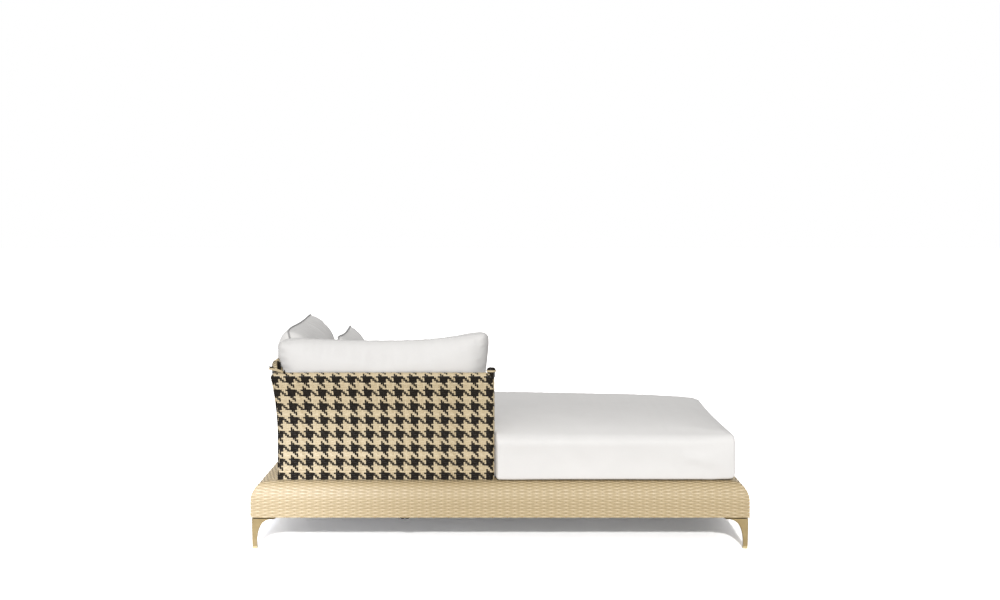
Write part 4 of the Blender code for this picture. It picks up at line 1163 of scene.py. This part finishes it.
def soften_seat(points):
    """Gives the boxed form an uneven top, a rounded lobe, a drawn-in end and a near edge that gives."""
    x, y, z = points.T
    half = SEAT_EDGE_TOP / 2
    middle = SEAT_FOOT + half
    uneven = gathers(x, np.full(len(points), GATHER_START), 1.0)
    z += np.where(z > SEAT_FOOT + SEAT_EDGE_TOP, SEAT_UNEVEN * uneven, 0.0)
    # The lobe beside the near panel is rounded at its top and foot.
    inset = SEAT_NOTCH_ROUNDING - np.clip(x - SEAT_NOTCH_X, 0.0, SEAT_NOTCH_ROUNDING)
    lost = SEAT_NOTCH_ROUNDING - np.sqrt(SEAT_NOTCH_ROUNDING**2 - inset**2)
    lobe = (y < SEAT_NOTCH_Y) & (x > SEAT_NOTCH_X)
    z[:] = np.where(lobe, middle + (z - middle) * (1 - lost / half), z)
    across = (2 * y - SEAT_NEAR - SEAT_HIGH.y) / (SEAT_HIGH.y - SEAT_NEAR)
    x -= SEAT_END_DRAW_IN * clamp(seat_along(x)) ** SEAT_END_DRAW_POWER * np.maximum(0.0, 1 - across**2)
    # The near edge stands a little off the ledge.
    from_edge = y - SEAT_NEAR
    z += SEAT_EDGE_LIFT * clamp(1 - from_edge / SEAT_EDGE_LIFT_DEPTH) * clamp((middle - z) / half)
    # Between its corners the top of the near edge sinks a little.
    reach = np.sin(math.pi / 2 * clamp((x - SEAT_NOTCH_X) / SEAT_SAG_START))
    reach *= np.sin(math.pi / 2 * clamp((SEAT_HIGH.x - x) / SEAT_SAG_END))
    z -= SEAT_SAG * clamp(1 - from_edge / SEAT_SAG_DEPTH) ** 2 * clamp((z - middle) / half) * reach


def build_seat():
    """Boxed seat cushion: sections along its length, softened, with a step round the near panel."""
    rings = [seat_ring(x) for x in seat_stations()]

    def closing(last):
        """Rings that shrink from an end's edge to its middle."""
        middle = (last.min(0) + last.max(0)) / 2
        scales = np.linspace(1.0, 0.0, CURVE_STEPS)[1:-1]
        return [middle + (last - middle) * scale for scale in scales]

    rows = closing(rings[0])[::-1] + rings + closing(rings[-1])
    obj = grid_mesh("seat_pad", rows, "canvas", close_columns=True)
    points = coordinates_of(obj.data)
    soften_seat(points)
    set_coordinates(obj, points)
    inflate(obj, SEAT_PRESSURE, SEAT_CLOTH_CAP)
    lowest = (SEAT_LOW.x, SEAT_NEAR, SEAT_FOOT)
    set_coordinates(obj, np.clip(coordinates_of(obj.data), lowest, np.array(SEAT_HIGH)))
    obj.data.shade_smooth()
    dress(obj, "seat_cushion", "canvas", "seat_cushion")


def build_back_cushions():
    """Cushions that lean on the two panels and a pillow that leans on the end cushion."""
    sunk = SEAT_FOOT + SEAT_EDGE_TOP - CUSHION_SINK
    quarter = Matrix.Rotation(math.radians(-90), 4, "Z")

    def add_cushion(name, node, size, place, turn, limits):
        obj, seam = sewn_form(name, size)
        stuff(obj, seam, Matrix.Translation(Vector(place)) @ turn, limits)
        sew(obj, seam, node, size["seam"], size["seam_radius"])
        dress(obj, node, "canvas", node)

    size = BACK_PAD
    middle = sunk + size["height"] / 2
    face = CORNER_Y - float(flare(middle)) + PANEL_HALF
    place = (NEAR_HIGH.x - BACK_PAD_END_GAP - size["length"] / 2, face + size["thickness"] / 2, middle)
    turn = Matrix.Rotation(size["lean"], 4, "X")
    limits = (lie_on_near_panel, lie_on_end_panel, rest_on_seat)
    add_cushion("back_pad", "back_cushion", size, place, turn, limits)

    low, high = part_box("end_cushion")
    size = END_PAD | {"length": high.y - low.y}
    half = size["height"] / 2
    face = CORNER_X - float(flare(END_RIM)) + PANEL_HALF + END_PAD_OVERHANG
    lean = size["lean"]
    place = (face + half * math.sin(lean), (low.y + high.y) / 2, sunk + half * math.cos(lean))
    turn = Matrix.Rotation(-lean, 4, "Y") @ quarter
    add_cushion("end_pad", "end_cushion", size, place, turn, (lie_on_end_panel, rest_on_seat))

    low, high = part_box("throw_pillow")
    size = PILLOW_PAD
    place = ((low.x + high.x) / 2, (low.y + high.y) / 2, sunk + size["height"] / 2)
    turn = Matrix.Rotation(-size["lean"], 4, "Y") @ quarter
    add_cushion("pillow_pad", "throw_pillow", size, place, turn, (rest_on_seat,))


# Light, stage and camera


def build_floor():
    """White floor: a plain grey to the light, brighter where a mirror or the camera sees it."""
    tree, shader = start_material("floor")
    tree.nodes.remove(shader)
    path = add_node(tree, "LightPath")
    look = (*FLOOR_COLOUR, 1.0)
    for ray, seen in zip(RAYS, (FLOOR_MIRRORED, FLOOR_MIRRORED, FLOOR_SHOWN)):
        of_kind = path.outputs[f"Is {ray} Ray"]
        mix = add_node(tree, "Mix", data_type="RGBA", Factor=of_kind, A=look, B=(*seen, 1.0))
        look = mix.outputs["Result"]
    diffuse = add_node(tree, "BsdfDiffuse", Color=look)
    feed(tree, tree.nodes["Material Output"], {"Surface": diffuse.outputs["BSDF"]})
    half = FLOOR_SIZE / 2
    rows = [[(x, y, 0.0) for x in (-half, half)] for y in (-half, half)]
    grid_mesh("floor", rows, "floor")


def build_room():
    """Room light that comes from the near left, weaker from both ends, and shows as white."""
    world = bpy.data.worlds.new("studio")
    world.use_nodes = True
    bpy.context.scene.world = world
    tree = world.node_tree
    way = add_node(tree, "TexCoord").outputs["Generated"]
    square = add_node(tree, "VectorMath", way, way, operation="MULTIPLY").outputs["Vector"]
    side = add_node(tree, "VectorMath", way, FILL_SIDE, operation="DOT_PRODUCT").outputs["Value"]
    ends = add_node(tree, "VectorMath", square, FILL_ENDS, operation="DOT_PRODUCT").outputs["Value"]
    slant = calculate(tree, "ADD", side, ends)
    strength = calculate(tree, "MULTIPLY_ADD", slant, FILL_STRENGTH, FILL_STRENGTH)
    strength.node.use_clamp = True
    path = add_node(tree, "LightPath")
    for ray in RAYS:
        of_kind = path.outputs[f"Is {ray} Ray"]
        strength = add_node(tree, "MapRange", Value=of_kind, To_Min=strength, To_Max=1.0).outputs["Result"]
    feed(tree, tree.nodes["Background"], {"Color": (1.0, 1.0, 1.0, 1.0), "Strength": strength})


def add_lamp(name, kind, travel, settings):
    """A lamp that shines along a direction."""
    light = bpy.data.lights.new(name, kind)
    for key, value in settings.items():
        setattr(light, key, value)
    lamp = new_object(name, light)
    lamp.rotation_euler = travel.to_track_quat("-Z", "Y").to_euler()
    return lamp


def build_stage():
    """Floor, room light, sun, a strip lamp on the left end and the camera."""
    build_floor()
    build_room()
    level = math.cos(KEY_ELEVATION)
    travel = (math.sin(KEY_AZIMUTH) * level, math.cos(KEY_AZIMUTH) * level, -math.sin(KEY_ELEVATION))
    add_lamp("key", "SUN", Vector(travel), KEY)
    strip = add_lamp("strip", "AREA", Vector(STRIP_AIM) - Vector(STRIP_PLACE), STRIP)
    strip.location = STRIP_PLACE
    strip.visible_camera = False

    camera = bpy.data.cameras.new("camera")
    camera.lens = FOCAL_PIXELS * camera.sensor_width / PHOTO_WIDTH
    camera.shift_y = (HORIZON_ROW - PHOTO_HEIGHT / 2) / PHOTO_WIDTH
    viewer = new_object("camera", camera)
    viewer.location = CAMERA_PLACE
    viewer.rotation_euler = (math.pi / 2, 0.0, 0.0)
    scene = bpy.context.scene
    scene.camera = viewer
    scene.view_settings.view_transform = "Standard"


def finish_frame_nodes():
    """Finishes for the solids that stay in view."""
    looks = {
        "gold_cast_metal": "gold_cast",
        "frame_aluminium": "aluminium",
        "fastener_steel": "steel",
        "dark_bracket": "bracket",
        "glide_plastic": "glide",
        "tan_weave": "tan_strand",
        "houndstooth_weave": "dark_strand",
        "canvas": "canvas",
    }
    slots = {entry["node"]: entry["material_slot"] for entry in frame["record"]["subparts"]}
    for name, obj in frame["nodes"].items():
        look = MATERIALS[looks.get(slots.get(name), "aluminium")]
        obj.data.materials.clear()
        obj.data.materials.append(look)


def main():
    make_materials()
    build_stage()
    finish_frame_nodes()
    for panel in PANELS:
        weave_panel(*panel)
    finish_corner()
    for side in SIDES:
        weave_side(side)
    base_shell()
    build_legs()
    build_seat()
    build_back_cushions()


main()
